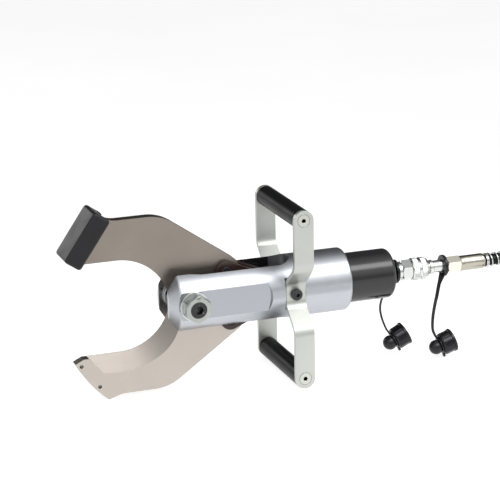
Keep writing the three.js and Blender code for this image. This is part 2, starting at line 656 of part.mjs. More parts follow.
add('lower_blade', lowerBlade(), BLADE());
add('upper_blade', overturn(lowerBlade()), BLADE());
add('lower_link_near', lowerLink(LINK_LAYERS.outer), LINK_BROWN());
add('lower_link_far', lowerLink(LINK_LAYERS.inner), LINK_BROWN());
add('upper_link_far', overturn(lowerLink(LINK_LAYERS.outer)), LINK_BROWN());
add('upper_link_near', overturn(lowerLink(LINK_LAYERS.inner)), LINK_BROWN());
add('lower_tail_pin', lowerTailPin(), BLACK_OXIDE());
add('upper_tail_pin', overturn(lowerTailPin()), BLACK_OXIDE());

add('pivot_bushing', ring('Y', BOLT_R + GAP, BUSHING_R, -12.9, 12.9), BRONZE());
add('pivot_bolt', pivotBolt(), BLACK_OXIDE());
add('pivot_nut', pivotNut(), ZINC());
for (const [name, low, high, outer] of [
  ['washer_near', -38.2, -35.6, 18], ['washer_far', 35.6, 38.2, 18],
  ['thrust_washer_near', -17.7, -13.3, BOSS_R], ['thrust_washer_far', 13.3, 17.7, BOSS_R],
]) {
  add(name, ring('Y', BOLT_R + GAP, outer, low, high), ZINC());
}

add('tip_guard', tipGuard(), plastic(0x1d1e20, 0.4));
GUARD_HOLES.forEach((hole, i) => {
  add(`tip_guard_screw_${i + 1}`, guardScrew(hole), BLACK_OXIDE());
});

add('handle_bar_far', farHandleBar(), BAR_PAINT());
add('handle_bar_near', overturn(farHandleBar()), BAR_PAINT());
add('handle_centre_screw_far', farCentreScrew(), BLACK_OXIDE());
add('handle_centre_screw_near', overturn(farCentreScrew()), BLACK_OXIDE());
for (const [name, z] of [['upper', GRIP_Z], ['lower', -GRIP_Z]]) {
  const half = BAR_OUTER_Y - BAR_T - 2 * GAP;
  add(`handle_rod_${name}`, gripRod(z), STEEL());
  add(`handle_grip_${name}`,
    ring('Y', GRIP_ROD_R + GAP, GRIP_R, -half, half, HANDLE_X, z, 28), RUBBER());
  add(`handle_end_screw_${name}_far`, farEndScrew(z), ZINC());
  add(`handle_end_screw_${name}_near`, overturn(farEndScrew(-z)), ZINC());
}

add('port_adaptor', portAdaptor(), BLACK_OXIDE());
add('coupler_socket', couplerSocket(), ZINC());
add('coupler_sleeve', couplerSleeve(), ZINC());
add('coupler_plug', couplerPlug(), ZINC());
add('hose_hex', hoseHex(PLUG_HEX.start), YELLOW_ZINC());
add('hose_ferrule', ferrule(365.3, HOSE_EXIT - GAP), YELLOW_ZINC());
add('hose_spring_guard', ring('X', HOSE_R + GAP, 9.3, HOSE_EXIT + GAP, 459, 0, 0, 20), ZINC());
add('hose_lead', hoseLead(), RUBBER());
add('hose_coil', hoseCoil(), RUBBER());
add('hose_far_ferrule', onCoil(ferrule(0, 34)), YELLOW_ZINC());
add('hose_far_fitting', onCoil(farFitting()), ZINC());

add('dust_cap_strap_1', capStrap(274.6, 7.9, 15.2, STRAP_1, CAP_1), RUBBER());
add('dust_cap_1', dustCap(CAP_1), RUBBER());
add('dust_cap_strap_2', capStrap(341.3, 8.1, 13.8, STRAP_2, CAP_2), RUBBER());
add('dust_cap_2', dustCap(CAP_2), RUBBER());

export default group;
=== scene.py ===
"""Looks of the hydraulic cable cutter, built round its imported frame.

Pieces are drawn in millimetres about the blade pivot, X towards the hose, Y away from the
camera and Z up, then moved into the row frame in metres.
"""

import json
import math

import bmesh
import bpy
from mathutils import Matrix, Vector


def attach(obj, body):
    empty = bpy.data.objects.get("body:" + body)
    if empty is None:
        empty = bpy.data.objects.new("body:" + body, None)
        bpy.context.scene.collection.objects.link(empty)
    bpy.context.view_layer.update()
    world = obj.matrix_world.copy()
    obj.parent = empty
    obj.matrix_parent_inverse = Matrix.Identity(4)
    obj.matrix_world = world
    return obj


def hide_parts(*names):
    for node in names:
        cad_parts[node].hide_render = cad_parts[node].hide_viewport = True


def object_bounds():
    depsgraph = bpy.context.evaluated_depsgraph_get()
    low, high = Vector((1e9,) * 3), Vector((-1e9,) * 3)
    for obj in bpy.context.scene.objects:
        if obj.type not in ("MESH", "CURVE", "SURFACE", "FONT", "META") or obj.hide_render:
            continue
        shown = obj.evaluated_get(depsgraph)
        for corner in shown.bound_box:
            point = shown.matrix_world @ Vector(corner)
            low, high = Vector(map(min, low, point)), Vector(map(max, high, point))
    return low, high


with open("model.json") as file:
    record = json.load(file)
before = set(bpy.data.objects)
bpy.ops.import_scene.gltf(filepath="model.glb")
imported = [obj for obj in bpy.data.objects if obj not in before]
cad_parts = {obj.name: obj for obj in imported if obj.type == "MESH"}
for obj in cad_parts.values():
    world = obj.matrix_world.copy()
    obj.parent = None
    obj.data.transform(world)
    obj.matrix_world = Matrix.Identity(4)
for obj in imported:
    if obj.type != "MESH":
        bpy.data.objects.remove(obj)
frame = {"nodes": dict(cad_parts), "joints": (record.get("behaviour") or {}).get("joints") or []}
CAD_LOW, CAD_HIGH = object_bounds()

MM = 0.001
GAP = 0.3


def joint(name):
    return next(j for j in frame["joints"] if j["name"] == name)


PIVOT = Vector(joint("upper_jaw_hinge")["pos_m"])
TAIL = (Vector(joint("upper_links_hinge")["pos_m"]) - PIVOT) / MM
TO_ROW = Matrix.Translation(PIVOT) @ Matrix.Scale(MM, 4)
FLOOR = -PIVOT.z / MM


def row_point(x, y, z):
    """A point given in millimetres about the pivot, in the row frame."""
    return TO_ROW @ Vector((x, y, z))


# ------------------------------------------------------------------ drawing dimensions, mm
BODY_R = 39.3
BODY_FRONT = -28
BODY_REAR = 205
FLAT_Y = 35.3
SEAT_Y = 34
SLOT_HALF = 20.6
CHEEK_HALF = 18
CHEEK_END = 16
SLOT_REAR_CENTRE = 113
HANDLE_X = 129
BARREL_R = 31.2
GRIP_Z = 99.5
BAR_WIDTH = 25
BAR_T = 5
BAR_OUTER_Y = 68
BLADE_T = 12.8
BLADE_INNER = 0.2
TAIL_EYE_R = 18.9
BOSS_R = 22
CRESCENT = (-85, 9, 66)
LINK_LENGTH = 78
LINK_SLACK_ANGLE = 1.87
PIN_REST_X = TAIL.x + math.sqrt(LINK_LENGTH**2 - TAIL.z**2)
HOSE_R = 7
HOSE_EXIT = 399.3
HOSE_DROP_START = 470
DROP_LENGTH = 300
COIL_X, COIL_Y = 540, -60
COIL_TURN_R = 91
COIL_PITCH = 14.5
COIL_HEIGHT = 2 * HOSE_R


# ------------------------------------------------------------------ outlines
def fillet(points, closed=False, steps=5):
    """2-D points; a third number rounds that corner by that radius."""
    out = []
    for i, p in enumerate(points):
        r = p[2] if len(p) > 2 else 0
        end = i in (0, len(points) - 1)
        if not r or (end and not closed):
            out.append((p[0], p[1]))
            continue
        before, here = Vector(points[i - 1][:2]), Vector(p[:2])
        after = Vector(points[(i + 1) % len(points)][:2])
        u, v = (before - here).normalized(), (after - here).normalized()
        half = u.angle(v) / 2
        reach = min(r / math.tan(half), 0.499 * (before - here).length, 0.499 * (after - here).length)
        r = reach * math.tan(half)
        centre = here + (u + v).normalized() * (r / math.sin(half))
        start, stop = here + u * reach - centre, here + v * reach - centre
        a0 = math.atan2(start.y, start.x)
        turn = (math.atan2(stop.y, stop.x) - a0 + math.pi) % (2 * math.pi) - math.pi
        for k in range(steps + 1):
            a = a0 + turn * k / steps
            out.append((centre.x + r * math.cos(a), centre.y + r * math.sin(a)))
    return out


def arc(cx, cy, r, a0, a1, n):
    """Points on an arc, angles in degrees."""
    angles = [math.radians(a0 + (a1 - a0) * k / n) for k in range(n + 1)]
    return [(cx + r * math.cos(a), cy + r * math.sin(a)) for a in angles]


def regular(n, across_flats, turn=0.0):
    r = across_flats / 2 / math.cos(math.pi / n)
    angles = [turn + 2 * math.pi * k / n for k in range(n)]
    return [(r * math.cos(a), r * math.sin(a)) for a in angles]


# ------------------------------------------------------------------ solids
def place(axis, u, v, t):
    """A flat drawing's u and v, and t along the axis, as a point."""
    if axis == "X":
        return (t, u, v)
    if axis == "Y":
        return (u, t, v)
    return (u, v, t)


def turned(profile, axis="X", centre=(0, 0), segments=96, steps=5, radius=None):
    """A solid turned about an axis; profile is (radius, along[, fillet]). It closes on
    itself unless it starts and ends on the axis. radius(r, t, angle) may shape it."""
    closed = profile[0][0] > 0
    points = fillet(profile, closed, steps)
    bm = bmesh.new()
    rings = []
    for r, t in points:
        if r < 1e-6:
            rings.append([bm.verts.new(place(axis, *centre, t))] * segments)
            continue
        ring = []
        for k in range(segments):
            a = 2 * math.pi * k / segments
            q = radius(r, t, a) if radius else r
            u, v = centre[0] + q * math.cos(a), centre[1] + q * math.sin(a)
            ring.append(bm.verts.new(place(axis, u, v, t)))
        rings.append(ring)
    pairs = list(zip(rings, rings[1:]))
    if closed:
        pairs.append((rings[-1], rings[0]))
    for low, high in pairs:
        for k in range(segments):
            m = (k + 1) % segments
            corners = list(dict.fromkeys((low[k], low[m], high[m], high[k])))
            if len(corners) > 2:
                bm.faces.new(corners)
    bmesh.ops.recalc_face_normals(bm, faces=bm.faces)
    return bm


def prism(outline, axis, low, high):
    bm = bmesh.new()
    bottom = [bm.verts.new(place(axis, u, v, low)) for u, v in outline]
    top = [bm.verts.new(place(axis, u, v, high)) for u, v in outline]
    bm.faces.new(bottom)
    bm.faces.new(top)
    for k in range(len(outline)):
        m = (k + 1) % len(outline)
        bm.faces.new((bottom[k], bottom[m], top[m], top[k]))
    bmesh.ops.recalc_face_normals(bm, faces=bm.faces)
    return bm


def block(x0, x1, y0, y1, z0, z1, r=0.0, steps=5):
    bm = prism([(x0, y0), (x1, y0), (x1, y1), (x0, y1)], "Z", z0, z1)
    if r:
        bmesh.ops.bevel(
            bm, geom=bm.edges[:], offset=r, segments=steps, profile=0.5, affect="EDGES")
    return bm


def loft(rings):
    """A closed skin over rings of points, one ring after another."""
    bm = bmesh.new()
    made = [[bm.verts.new(p) for p in ring] for ring in rings]
    n = len(made[0])
    for low, high in zip(made, made[1:]):
        for k in range(n):
            m = (k + 1) % n
            bm.faces.new((low[k], low[m], high[m], high[k]))
    bm.faces.new(made[0])
    bm.faces.new(made[-1])
    bmesh.ops.recalc_face_normals(bm, faces=bm.faces)
    return bm


def smooth_line(points, per=8):
    """A Catmull-Rom line through the points."""
    p = [Vector(q) for q in points]
    p = [2 * p[0] - p[1], *p, 2 * p[-1] - p[-2]]
    out = []
    for a, b, c, d in zip(p, p[1:], p[2:], p[3:]):
        for k in range(per):
            t = k / per
            out.append(0.5 * (2 * b + (c - a) * t + (2 * a - 5 * b + 4 * c - d) * t * t
                              + (3 * b - a - 3 * c + d) * t**3))
    return [*out, p[-2]]


def swept(points, section, normal=(0, 1, 0)):
    """section(share, index) gives the outline, (across, out) pairs, at each point."""
    side = Vector(normal)
    rings = []
    for i, p in enumerate(points):
        ahead = (points[min(i + 1, len(points) - 1)] - points[max(i - 1, 0)]).normalized()
        side = (side - ahead * side.dot(ahead)).normalized()
        out = ahead.cross(side)
        share = i / (len(points) - 1)
        rings.append([p + side * u + out * v for u, v in section(share, i)])
    return loft(rings)


def circle(r, n=16):
    return [(r * math.cos(2 * math.pi * k / n), r * math.sin(2 * math.pi * k / n)) for k in range(n)]


# ------------------------------------------------------------------ objects
def new_object(name, bm):
    mesh = bpy.data.meshes.new(name)
    bm.to_mesh(mesh)
    bm.free()
    obj = bpy.data.objects.new(name, mesh)
    bpy.context.scene.collection.objects.link(obj)
    return obj


def settled(obj):
    """Applies the modifiers that are on an object."""
    graph = bpy.context.evaluated_depsgraph_get()
    mesh = bpy.data.meshes.new_from_object(obj.evaluated_get(graph))
    obj.modifiers.clear()
    old, obj.data = obj.data, mesh
    bpy.data.meshes.remove(old)
    return obj


def combined(obj, other, operation):
    tool = new_object("tool", other)
    modifier = obj.modifiers.new("boolean", "BOOLEAN")
    modifier.operation = operation
    modifier.solver = "EXACT"
    modifier.object = tool
    settled(obj)
    bpy.data.objects.remove(tool)
    return obj


def solid(bm, cuts=(), joins=(), keep=None):
    """A scratch object with some solids cut from it, joined to it, or all but one cut off."""
    obj = new_object("work", bm)
    for other in joins:
        combined(obj, other, "UNION")
    if keep:
        combined(obj, keep, "INTERSECT")
    for other in cuts:
        combined(obj, other, "DIFFERENCE")
    return obj


def turn_over(obj):
    obj.data.transform(Matrix.Rotation(math.pi, 4, "X"))
    return obj


def piece(obj, name, material, body, nodes, bevel=0.0, sharp=32, segments=3, move=None,
          marked=False):
    """Finishes a scratch object, or a bmesh, as a named piece that stands for CAD nodes.
    marked rounds the edges that carry a weight, not all the sharp ones."""
    if isinstance(obj, bmesh.types.BMesh):
        obj = new_object("work", obj)
    if move is not None:
        obj.data.transform(move)
    obj.data.transform(TO_ROW)
    obj.name = name
    obj.data.name = name
    merge = bmesh.new()
    merge.from_mesh(obj.data)
    bmesh.ops.remove_doubles(merge, verts=merge.verts, dist=0.02 * MM)
    merge.to_mesh(obj.data)
    merge.free()
    obj.data.materials.clear()
    obj.data.materials.append(material)
    for polygon in obj.data.polygons:
        polygon.use_smooth = True
    if bevel:
        edge = obj.modifiers.new("edges", "BEVEL")
        edge.width = bevel * MM
        edge.segments = segments
        edge.limit_method = "WEIGHT" if marked else "ANGLE"
        edge.angle_limit = math.radians(sharp)
        edge.use_clamp_overlap = True
        edge.miter_outer = "MITER_ARC"
    if marked or not bevel:
        obj.data.set_sharp_from_angle(angle=math.radians(sharp))
    weighted = obj.modifiers.new("normals", "WEIGHTED_NORMAL")
    weighted.keep_sharp = True
    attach(obj, body)
    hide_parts(*nodes)
    return obj


# ------------------------------------------------------------------ materials
class Nodes:
    """A small helper that wires one material's nodes."""

    def __init__(self, name):
        self.material = bpy.data.materials.new(name)
        self.material.use_nodes = True
        self.tree = self.material.node_tree
        self.shader = self.tree.nodes["Principled BSDF"]
        coordinates = self.tree.nodes.new("ShaderNodeTexCoord")
        self.place = coordinates.outputs["Object"]

    def link(self, a, b):
        self.tree.links.new(a, b)

    def scaled(self, x, y, z, turn=(0, 0, 0)):
        node = self.tree.nodes.new("ShaderNodeMapping")
        node.inputs["Scale"].default_value = (x, y, z)
        node.inputs["Rotation"].default_value = turn
        self.link(self.place, node.inputs["Vector"])
        return node.outputs["Vector"]

    def noise(self, vector, scale=1.0, detail=4.0, roughness=0.55):
        node = self.tree.nodes.new("ShaderNodeTexNoise")
        node.inputs["Scale"].default_value = scale
        node.inputs["Detail"].default_value = detail
        node.inputs["Roughness"].default_value = roughness
        self.link(vector, node.inputs["Vector"])
        return node.outputs["Fac"]

    def ramp(self, value, stops):
        """stops are (place, grey or colour)."""
        node = self.tree.nodes.new("ShaderNodeValToRGB")
        band = node.color_ramp
        while len(band.elements) < len(stops):
            band.elements.new(0.5)
        for element, (at, colour) in zip(band.elements, stops):
            element.position = at
            grey = isinstance(colour, (int, float))
            element.color = (colour, colour, colour, 1) if grey else (*colour, 1)
        self.link(value, node.inputs["Fac"])
        return node.outputs["Color"]

    def mixed(self, a, b, share, mode="MIX"):
        node = self.tree.nodes.new("ShaderNodeMix")
        node.data_type = "RGBA"
        node.blend_type = mode
        for socket, value in ((node.inputs[0], share), (node.inputs[6], a), (node.inputs[7], b)):
            if isinstance(value, bpy.types.NodeSocket):
                self.link(value, socket)
            else:
                socket.default_value = value if isinstance(value, float) else (*value, 1)
        return node.outputs[2]

    def bump(self, height, strength, distance, onto=None):
        node = self.tree.nodes.new("ShaderNodeBump")
        node.inputs["Strength"].default_value = strength
        node.inputs["Distance"].default_value = distance
        self.link(height, node.inputs["Height"])
        if onto is not None:
            self.link(onto, node.inputs["Normal"])
        return node.outputs["Normal"]

    def sideways(self):
        """How far the surface faces across the tool, 0 to 1; turning a jaw leaves it as it is."""
        parts = self.tree.nodes.new("ShaderNodeSeparateXYZ")
        self.link(self.tree.nodes.new("ShaderNodeNewGeometry").outputs["Normal"], parts.inputs[0])
        size = self.tree.nodes.new("ShaderNodeMath")
        size.operation = "ABSOLUTE"
        self.link(parts.outputs["Y"], size.inputs[0])
        return size.outputs[0]

    def hole_shade(self, depth):
        """Painted shade mask: 1 down in holes about this deep, 0 elsewhere."""
        node = self.tree.nodes.new("ShaderNodeAmbientOcclusion")
        node.inputs["Distance"].default_value = depth
        return self.ramp(node.outputs["AO"], [(0.35, 1), (0.6, 0)])

    def worn(self):
        """1 on outside edges, 0 elsewhere."""
        node = self.tree.nodes.new("ShaderNodeNewGeometry")
        return self.ramp(node.outputs["Pointiness"], [(0.505, 0), (0.56, 1)])

    def done(self, colour=None, roughness=None, normal=None, **fixed):
        sockets = self.shader.inputs
        for name, value in fixed.items():
            sockets[name.replace("_", " ").title().replace("Ior", "IOR")].default_value = value
        if colour is not None:
            if isinstance(colour, bpy.types.NodeSocket):
                self.link(colour, sockets["Base Color"])
            else:
                sockets["Base Color"].default_value = (*colour, 1)
        if isinstance(roughness, float):
            sockets["Roughness"].default_value = roughness
        elif roughness is not None:
            self.link(roughness, sockets["Roughness"])
        if normal is not None:
            self.link(normal, sockets["Normal"])
        return self.material


def brushed(name, colour, dark, rough, grain, amount=0.25, turn=(0, 0, 0), metallic=1.0, depth=0.004,
            milled_flat_shade=None, hole_shade_depth=0.0):
    """Metal with a grain; grain is the noise's scale along X, Y and Z, milled_flat_shade the side flats'
    tone, darker than the rest as painted shade, beside their glossier finish, hole_shade_depth the depth of
    the holes that are darkened as painted shade."""
    n = Nodes(name)
    lines = n.noise(n.scaled(*grain, turn=turn), 1.0, 6, 0.6)
    clouds = n.noise(n.scaled(18, 18, 18), 1.0, 3)
    tone = n.mixed(dark, colour, n.ramp(clouds, [(0.3, 0.4), (0.7, 1.0)]))
    tone = n.mixed(tone, dark, n.ramp(lines, [(0.35, amount), (0.62, 0.0)]))
    # Painted shade: the holes are darkened to near black, standing in for the shade inside them.
    if hole_shade_depth:
        tone = n.mixed(tone, (0.015, 0.014, 0.013), n.hole_shade(hole_shade_depth))
    finish = n.ramp(lines, [(0.3, rough * 0.9), (0.7, min(1, rough * 1.12))])
    # The side flats: a glossier milled finish, and a darker tone that is painted shade.
    if milled_flat_shade is not None:
        flat = n.ramp(n.sideways(), [(0.992, 0), (0.999, 0.9)])
        tone = n.mixed(tone, milled_flat_shade, flat)
        finish = n.mixed(finish, (0.15, 0.15, 0.15), flat)
    return n.done(tone, finish, n.bump(lines, 0.2, depth * MM), metallic=metallic)


def turned_metal(name, colour, dark, rough, rings=1500.0, amount=0.2, depth=0.004, milled_flat_shade=None):
    """Metal turned on a lathe, with fine rings round the X axis."""
    return brushed(name, colour, dark, rough, (rings, 12, 12), amount, depth=depth, milled_flat_shade=milled_flat_shade)


def ground_metal(name, colour, dark, rough, turn):
    """Flat ground steel: long fine lines in the blade's plane, with a faint warm tint, and the faces that
    don't face sideways, such as the bevel, darker as painted shade.
    """
    n = Nodes(name)
    lines = n.noise(n.scaled(30, 700, 900, turn=turn), 1.0, 5, 0.6)
    clouds = n.noise(n.scaled(9, 9, 9), 1.0, 2)
    tone = n.mixed(dark, colour, n.ramp(clouds, [(0.35, 0.2), (0.65, 1.0)]))
    tone = n.mixed(tone, dark, n.ramp(lines, [(0.4, 0.35), (0.6, 0.0)]))
    # Painted shade: the bevel and the other faces that don't face across the tool are darkened.
    bevel = tuple(0.62 * part for part in dark)
    tone = n.mixed(tone, bevel, n.ramp(n.sideways(), [(0.93, 1), (0.98, 0)]))
    finish = n.ramp(lines, [(0.3, rough * 0.9), (0.7, rough * 1.12)])
    return n.done(tone, finish, n.bump(lines, 0.2, 0.005 * MM), metallic=1.0)


def coated(name, colour, light, rough, grain=900.0, depth=0.03, wear=(0.25, 0.25, 0.26), worn=0.35,
           shine=0.4):
    """Paint, oxide or moulded plastic: a fine skin texture with rubbed edges."""
    n = Nodes(name)
    skin = n.noise(n.scaled(grain, grain, grain), 1.0, 3)
    clouds = n.noise(n.scaled(25, 25, 25), 1.0, 4)
    tone = n.mixed(colour, light, n.ramp(clouds, [(0.35, 0.0), (0.75, 1.0)]))
    edge = n.tree.nodes.new("ShaderNodeMath")
    edge.operation = "MULTIPLY"
    edge.inputs[1].default_value = worn
    n.link(n.worn(), edge.inputs[0])
    tone = n.mixed(tone, wear, edge.outputs[0])
    finish = n.ramp(clouds, [(0.3, rough * 0.85), (0.7, min(1, rough * 1.2))])
    return n.done(tone, finish, n.bump(skin, 0.3, depth * MM), specular_ior_level=shine)


MATERIALS = {
    # The satin plate's side flats are darker as painted shade.
    "satin": turned_metal("satin_plate", (0.48, 0.5, 0.53), (0.43, 0.45, 0.48), 0.36, 700, 0.15,
                          milled_flat_shade=(0.34, 0.355, 0.38)),
    "barrel": coated("black_enamel", (0.0015, 0.0015, 0.002), (0.003, 0.003, 0.004), 0.2, 600, 0.005,
                     shine=0.52),
    "lower_blade": ground_metal("ground_steel_lower", (0.5, 0.455, 0.415), (0.43, 0.39, 0.355), 0.4,
                                (0, 0.6, 0)),
    "upper_blade": ground_metal("ground_steel_upper", (0.29, 0.255, 0.225), (0.24, 0.21, 0.185), 0.4,
                                (0, -0.6, 0)),
    "bar": brushed("bar_plate", (0.5, 0.51, 0.48), (0.42, 0.43, 0.405), 0.38, (40, 500, 25), 0.15,
                   metallic=0.85),
    "steel": turned_metal("machined_steel", (0.55, 0.55, 0.55), (0.42, 0.42, 0.42), 0.28),
    "zinc": brushed("bright_zinc", (0.7, 0.71, 0.7), (0.54, 0.56, 0.55), 0.22, (300, 300, 300), 0.2),
    # The screws' sockets are darkened to near black as painted shade.
    "screw": brushed("screw_plate", (0.56, 0.565, 0.52), (0.42, 0.43, 0.39), 0.25, (300, 300, 300), 0.3,
                     hole_shade_depth=0.006),
    "nut": brushed("nut_plate", (0.4, 0.425, 0.4), (0.3, 0.325, 0.3), 0.2, (300, 300, 300), 0.3),
    "ferrule": brushed("ferrule_plate", (0.52, 0.495, 0.425), (0.38, 0.36, 0.29), 0.2, (900, 30, 30), 0.2),
    "yellow_zinc": brushed("yellow_zinc", (0.86, 0.83, 0.74), (0.7, 0.67, 0.58), 0.22, (900, 30, 30), 0.2),
    "oxide": coated("black_oxide", (0.005, 0.005, 0.006), (0.01, 0.01, 0.009), 0.26, 1200, 0.01, worn=0.3,
                    shine=0.22),
    "link": coated("link_brown", (0.009, 0.004, 0.0035), (0.022, 0.009, 0.0075), 0.3, 700, 0.02, worn=0.3,
                   wear=(0.1, 0.06, 0.05)),
    "bronze": turned_metal("bronze", (0.62, 0.44, 0.2), (0.4, 0.27, 0.12), 0.35),
    "guard": coated("guard_plastic", (0.004, 0.004, 0.005), (0.007, 0.007, 0.008), 0.36, 1500, 0.03, worn=0.1,
                    shine=0.22),
    "grip": coated("grip_rubber", (0.003, 0.003, 0.0035), (0.005, 0.005, 0.0055), 0.34, 1100, 0.02, worn=0.03,
                   shine=0.1),
    "cap": coated("cap_plastic", (0.003, 0.003, 0.004), (0.006, 0.006, 0.008), 0.24, 1000, 0.02, worn=0.05,
                  shine=0.3),
    "hose": coated("hose_cover", (0.003, 0.003, 0.0035), (0.006, 0.006, 0.0065), 0.4, 1300, 0.04, worn=0.0,
                   shine=0.2),
    "seal": coated("seal", (0.02, 0.03, 0.04), (0.03, 0.04, 0.05), 0.5),
}


# ------------------------------------------------------------------ camera and light
CAMERA_YAW = math.radians(19.502)
CAMERA_PITCH = math.radians(16.346)
CAMERA_ROLL = math.radians(-1.102)
CAMERA_BACK = 2424.8
CAMERA_RIGHT = 78.55
CAMERA_UP = 58.05
LENS = 144


def add_camera():
    cy, sy = math.cos(CAMERA_YAW), math.sin(CAMERA_YAW)
    cp, sp = math.cos(CAMERA_PITCH), math.sin(CAMERA_PITCH)
    ahead = Vector((sy * cp, cy * cp, -sp))
    level = Vector((cy, -sy, 0))
    above = level.cross(ahead)
    cr, sr = math.cos(CAMERA_ROLL), math.sin(CAMERA_ROLL)
    right = level * cr + above * sr
    up = above * cr - level * sr
    eye = right * CAMERA_RIGHT + up * CAMERA_UP - ahead * CAMERA_BACK
    data = bpy.data.cameras.new("camera")
    data.lens = LENS
    data.sensor_width = 36
    data.clip_start = 0.05
    data.clip_end = 100
    camera = bpy.data.objects.new("camera", data)
    bpy.context.scene.collection.objects.link(camera)
    turn = Matrix((right, up, -ahead)).transposed().to_4x4()
    camera.matrix_world = Matrix.Translation(row_point(*eye)) @ turn
    bpy.context.scene.camera = camera


def add_light(name, at, towards, width, height, power, colour=(1, 1, 1)):
    data = bpy.data.lights.new(name, "AREA")
    data.shape = "RECTANGLE"
    data.size = width
    data.size_y = height
    data.energy = power
    data.color = colour
    light = bpy.data.objects.new(name, data)
    bpy.context.scene.collection.objects.link(light)
    light.location = at
    light.rotation_euler = (Vector(towards) - Vector(at)).to_track_quat("-Z", "Y").to_euler()


ROOM = [(0, 0.4), (12, 0.45), (26, 1.3), (70, 1.5), (92, 0.8), (120, 0.12), (180, 0.03)]
FLOOR_GLOW = [(0.2, 0.85), (0.8, 0.6)]


def add_stage():
    floor = new_object("floor", prism([(-9000, -9000), (9000, -9000), (9000, 9000), (-9000, 9000)],
                                      "Z", FLOOR - 20, FLOOR))
    floor.data.transform(TO_ROW)
    n = Nodes("floor")
    speckle = n.noise(n.scaled(3, 3, 3), 1.0, 2)
    n.done(n.ramp(speckle, [(0.3, 0.4), (0.7, 0.42)]), roughness=0.7, emission_color=(1, 1, 1, 1))
    away = n.tree.nodes.new("ShaderNodeVectorMath")
    away.operation = "LENGTH"
    n.link(n.place, away.inputs[0])
    n.link(mapped(n.tree, away.outputs["Value"], FLOOR_GLOW), n.shader.inputs["Emission Strength"])
    floor.data.materials.append(n.material)
    world = bpy.data.worlds.new("studio")
    world.use_nodes = True
    add_room(world.node_tree)
    bpy.context.scene.world = world
    middle = (CAD_LOW + CAD_HIGH) / 2
    add_light("key", (0.65, -1.3, 1.95), middle, 2.6, 0.8, 36)
    add_light("rim", (-1.25, 2.1, 0.75), middle, 1.0, 0.7, 7)
    bpy.context.scene.view_settings.view_transform = "Standard"


def mapped(tree, value, stops):
    """Straight lines between (value, result) stops."""
    (low, _), (high, _) = stops[0], stops[-1]
    top = max(result for _, result in stops)
    share = tree.nodes.new("ShaderNodeMapRange")
    share.inputs["From Min"].default_value = low
    share.inputs["From Max"].default_value = high
    tree.links.new(value, share.inputs["Value"])
    band = tree.nodes.new("ShaderNodeValToRGB")
    for at, _ in stops[1:-1]:
        band.color_ramp.elements.new((at - low) / (high - low))
    for element, (_, result) in zip(band.color_ramp.elements, stops):
        element.color = (result / top, result / top, result / top, 1)
    tree.links.new(share.outputs["Result"], band.inputs["Fac"])
    scale = tree.nodes.new("ShaderNodeMath")
    scale.operation = "MULTIPLY"
    scale.inputs[1].default_value = top
    tree.links.new(band.outputs["Color"], scale.inputs[0])
    return scale.outputs[0]


def add_room(tree):
    """Studio walls along the tool: bright above the front, dark overhead and behind.
    ROOM gives their brightness by height in degrees, from the front horizon over the top."""
    place = tree.nodes.new("ShaderNodeTexCoord").outputs["Generated"]
    parts = tree.nodes.new("ShaderNodeSeparateXYZ")
    tree.links.new(place, parts.inputs[0])
    front = tree.nodes.new("ShaderNodeMath")
    front.operation = "MULTIPLY"
    front.inputs[1].default_value = -1
    tree.links.new(parts.outputs["Y"], front.inputs[0])
    angle = tree.nodes.new("ShaderNodeMath")
    angle.operation = "ARCTAN2"
    tree.links.new(parts.outputs["Z"], angle.inputs[0])
    tree.links.new(front.outputs[0], angle.inputs[1])
    tones = [(math.radians(at), tone) for at, tone in ROOM]
    tree.links.new(mapped(tree, angle.outputs[0], tones), tree.nodes["Background"].inputs["Strength"])
    tree.nodes["Background"].inputs["Color"].default_value = (1, 1, 1, 1)


# ------------------------------------------------------------------ hose
def hose_points():
    """The hose's middle line: out of the guard, down and round onto the coil, twice round
    on the floor, then up over the inner turn to the far ferrule."""
    points = [Vector((HOSE_EXIT + (HOSE_DROP_START - HOSE_EXIT) * k / 4, 0, 0)) for k in range(4)]
    arc_r = -COIL_Y
    straight = COIL_X + COIL_TURN_R - arc_r - HOSE_DROP_START
    quarter = arc_r * math.pi / 2
    drop = -FLOOR - HOSE_R
    steps = 20
    for k in range(steps):
        s = DROP_LENGTH * k / steps
        z = -drop / 2 * (1 - math.cos(math.pi * s / DROP_LENGTH))
        if s < straight:
            points.append(Vector((HOSE_DROP_START + s, 0, z)))
            continue
        on_arc = s < straight + quarter
        r = arc_r if on_arc else COIL_TURN_R
        cx = COIL_X + (COIL_TURN_R - arc_r if on_arc else 0)
        a = math.pi / 2 - (s - straight) / r if on_arc else -(s - straight - quarter) / r
        points.append(Vector((cx + r * math.cos(a), COIL_Y + r * math.sin(a), z)))
    landing = (DROP_LENGTH - straight - quarter) / COIL_TURN_R
    turns, per_turn = 2, 18
    last = turns * 2 * math.pi + landing
    bottom = FLOOR + HOSE_R

    def spiral(a):
        return COIL_TURN_R - COIL_PITCH * (a - landing) / (2 * math.pi)

    for k in range(turns * per_turn):
        a = landing + 2 * math.pi * k / per_turn
        r = spiral(a)
        points.append(Vector((COIL_X + r * math.cos(-a), COIL_Y + r * math.sin(-a), bottom)))
    end = 5 * math.pi
    steps = 9
    lift = FAR_END.z - bottom - COIL_PITCH
    for k in range(steps + 1):
        share = k / steps
        a = last + (end - last) * share
        over = math.pi / 2 * share
        r = spiral(a - 2 * math.pi) - COIL_PITCH * math.cos(over)
        z = bottom + COIL_PITCH * math.sin(over) + lift * share**2 * (3 - 2 * share)
        points.append(Vector((COIL_X + r * math.cos(-a), COIL_Y + r * math.sin(-a), z)))
    return points


FAR_END = Vector((COIL_X - 71.9, COIL_Y + 0.3, FLOOR + COIL_HEIGHT + 11.4))


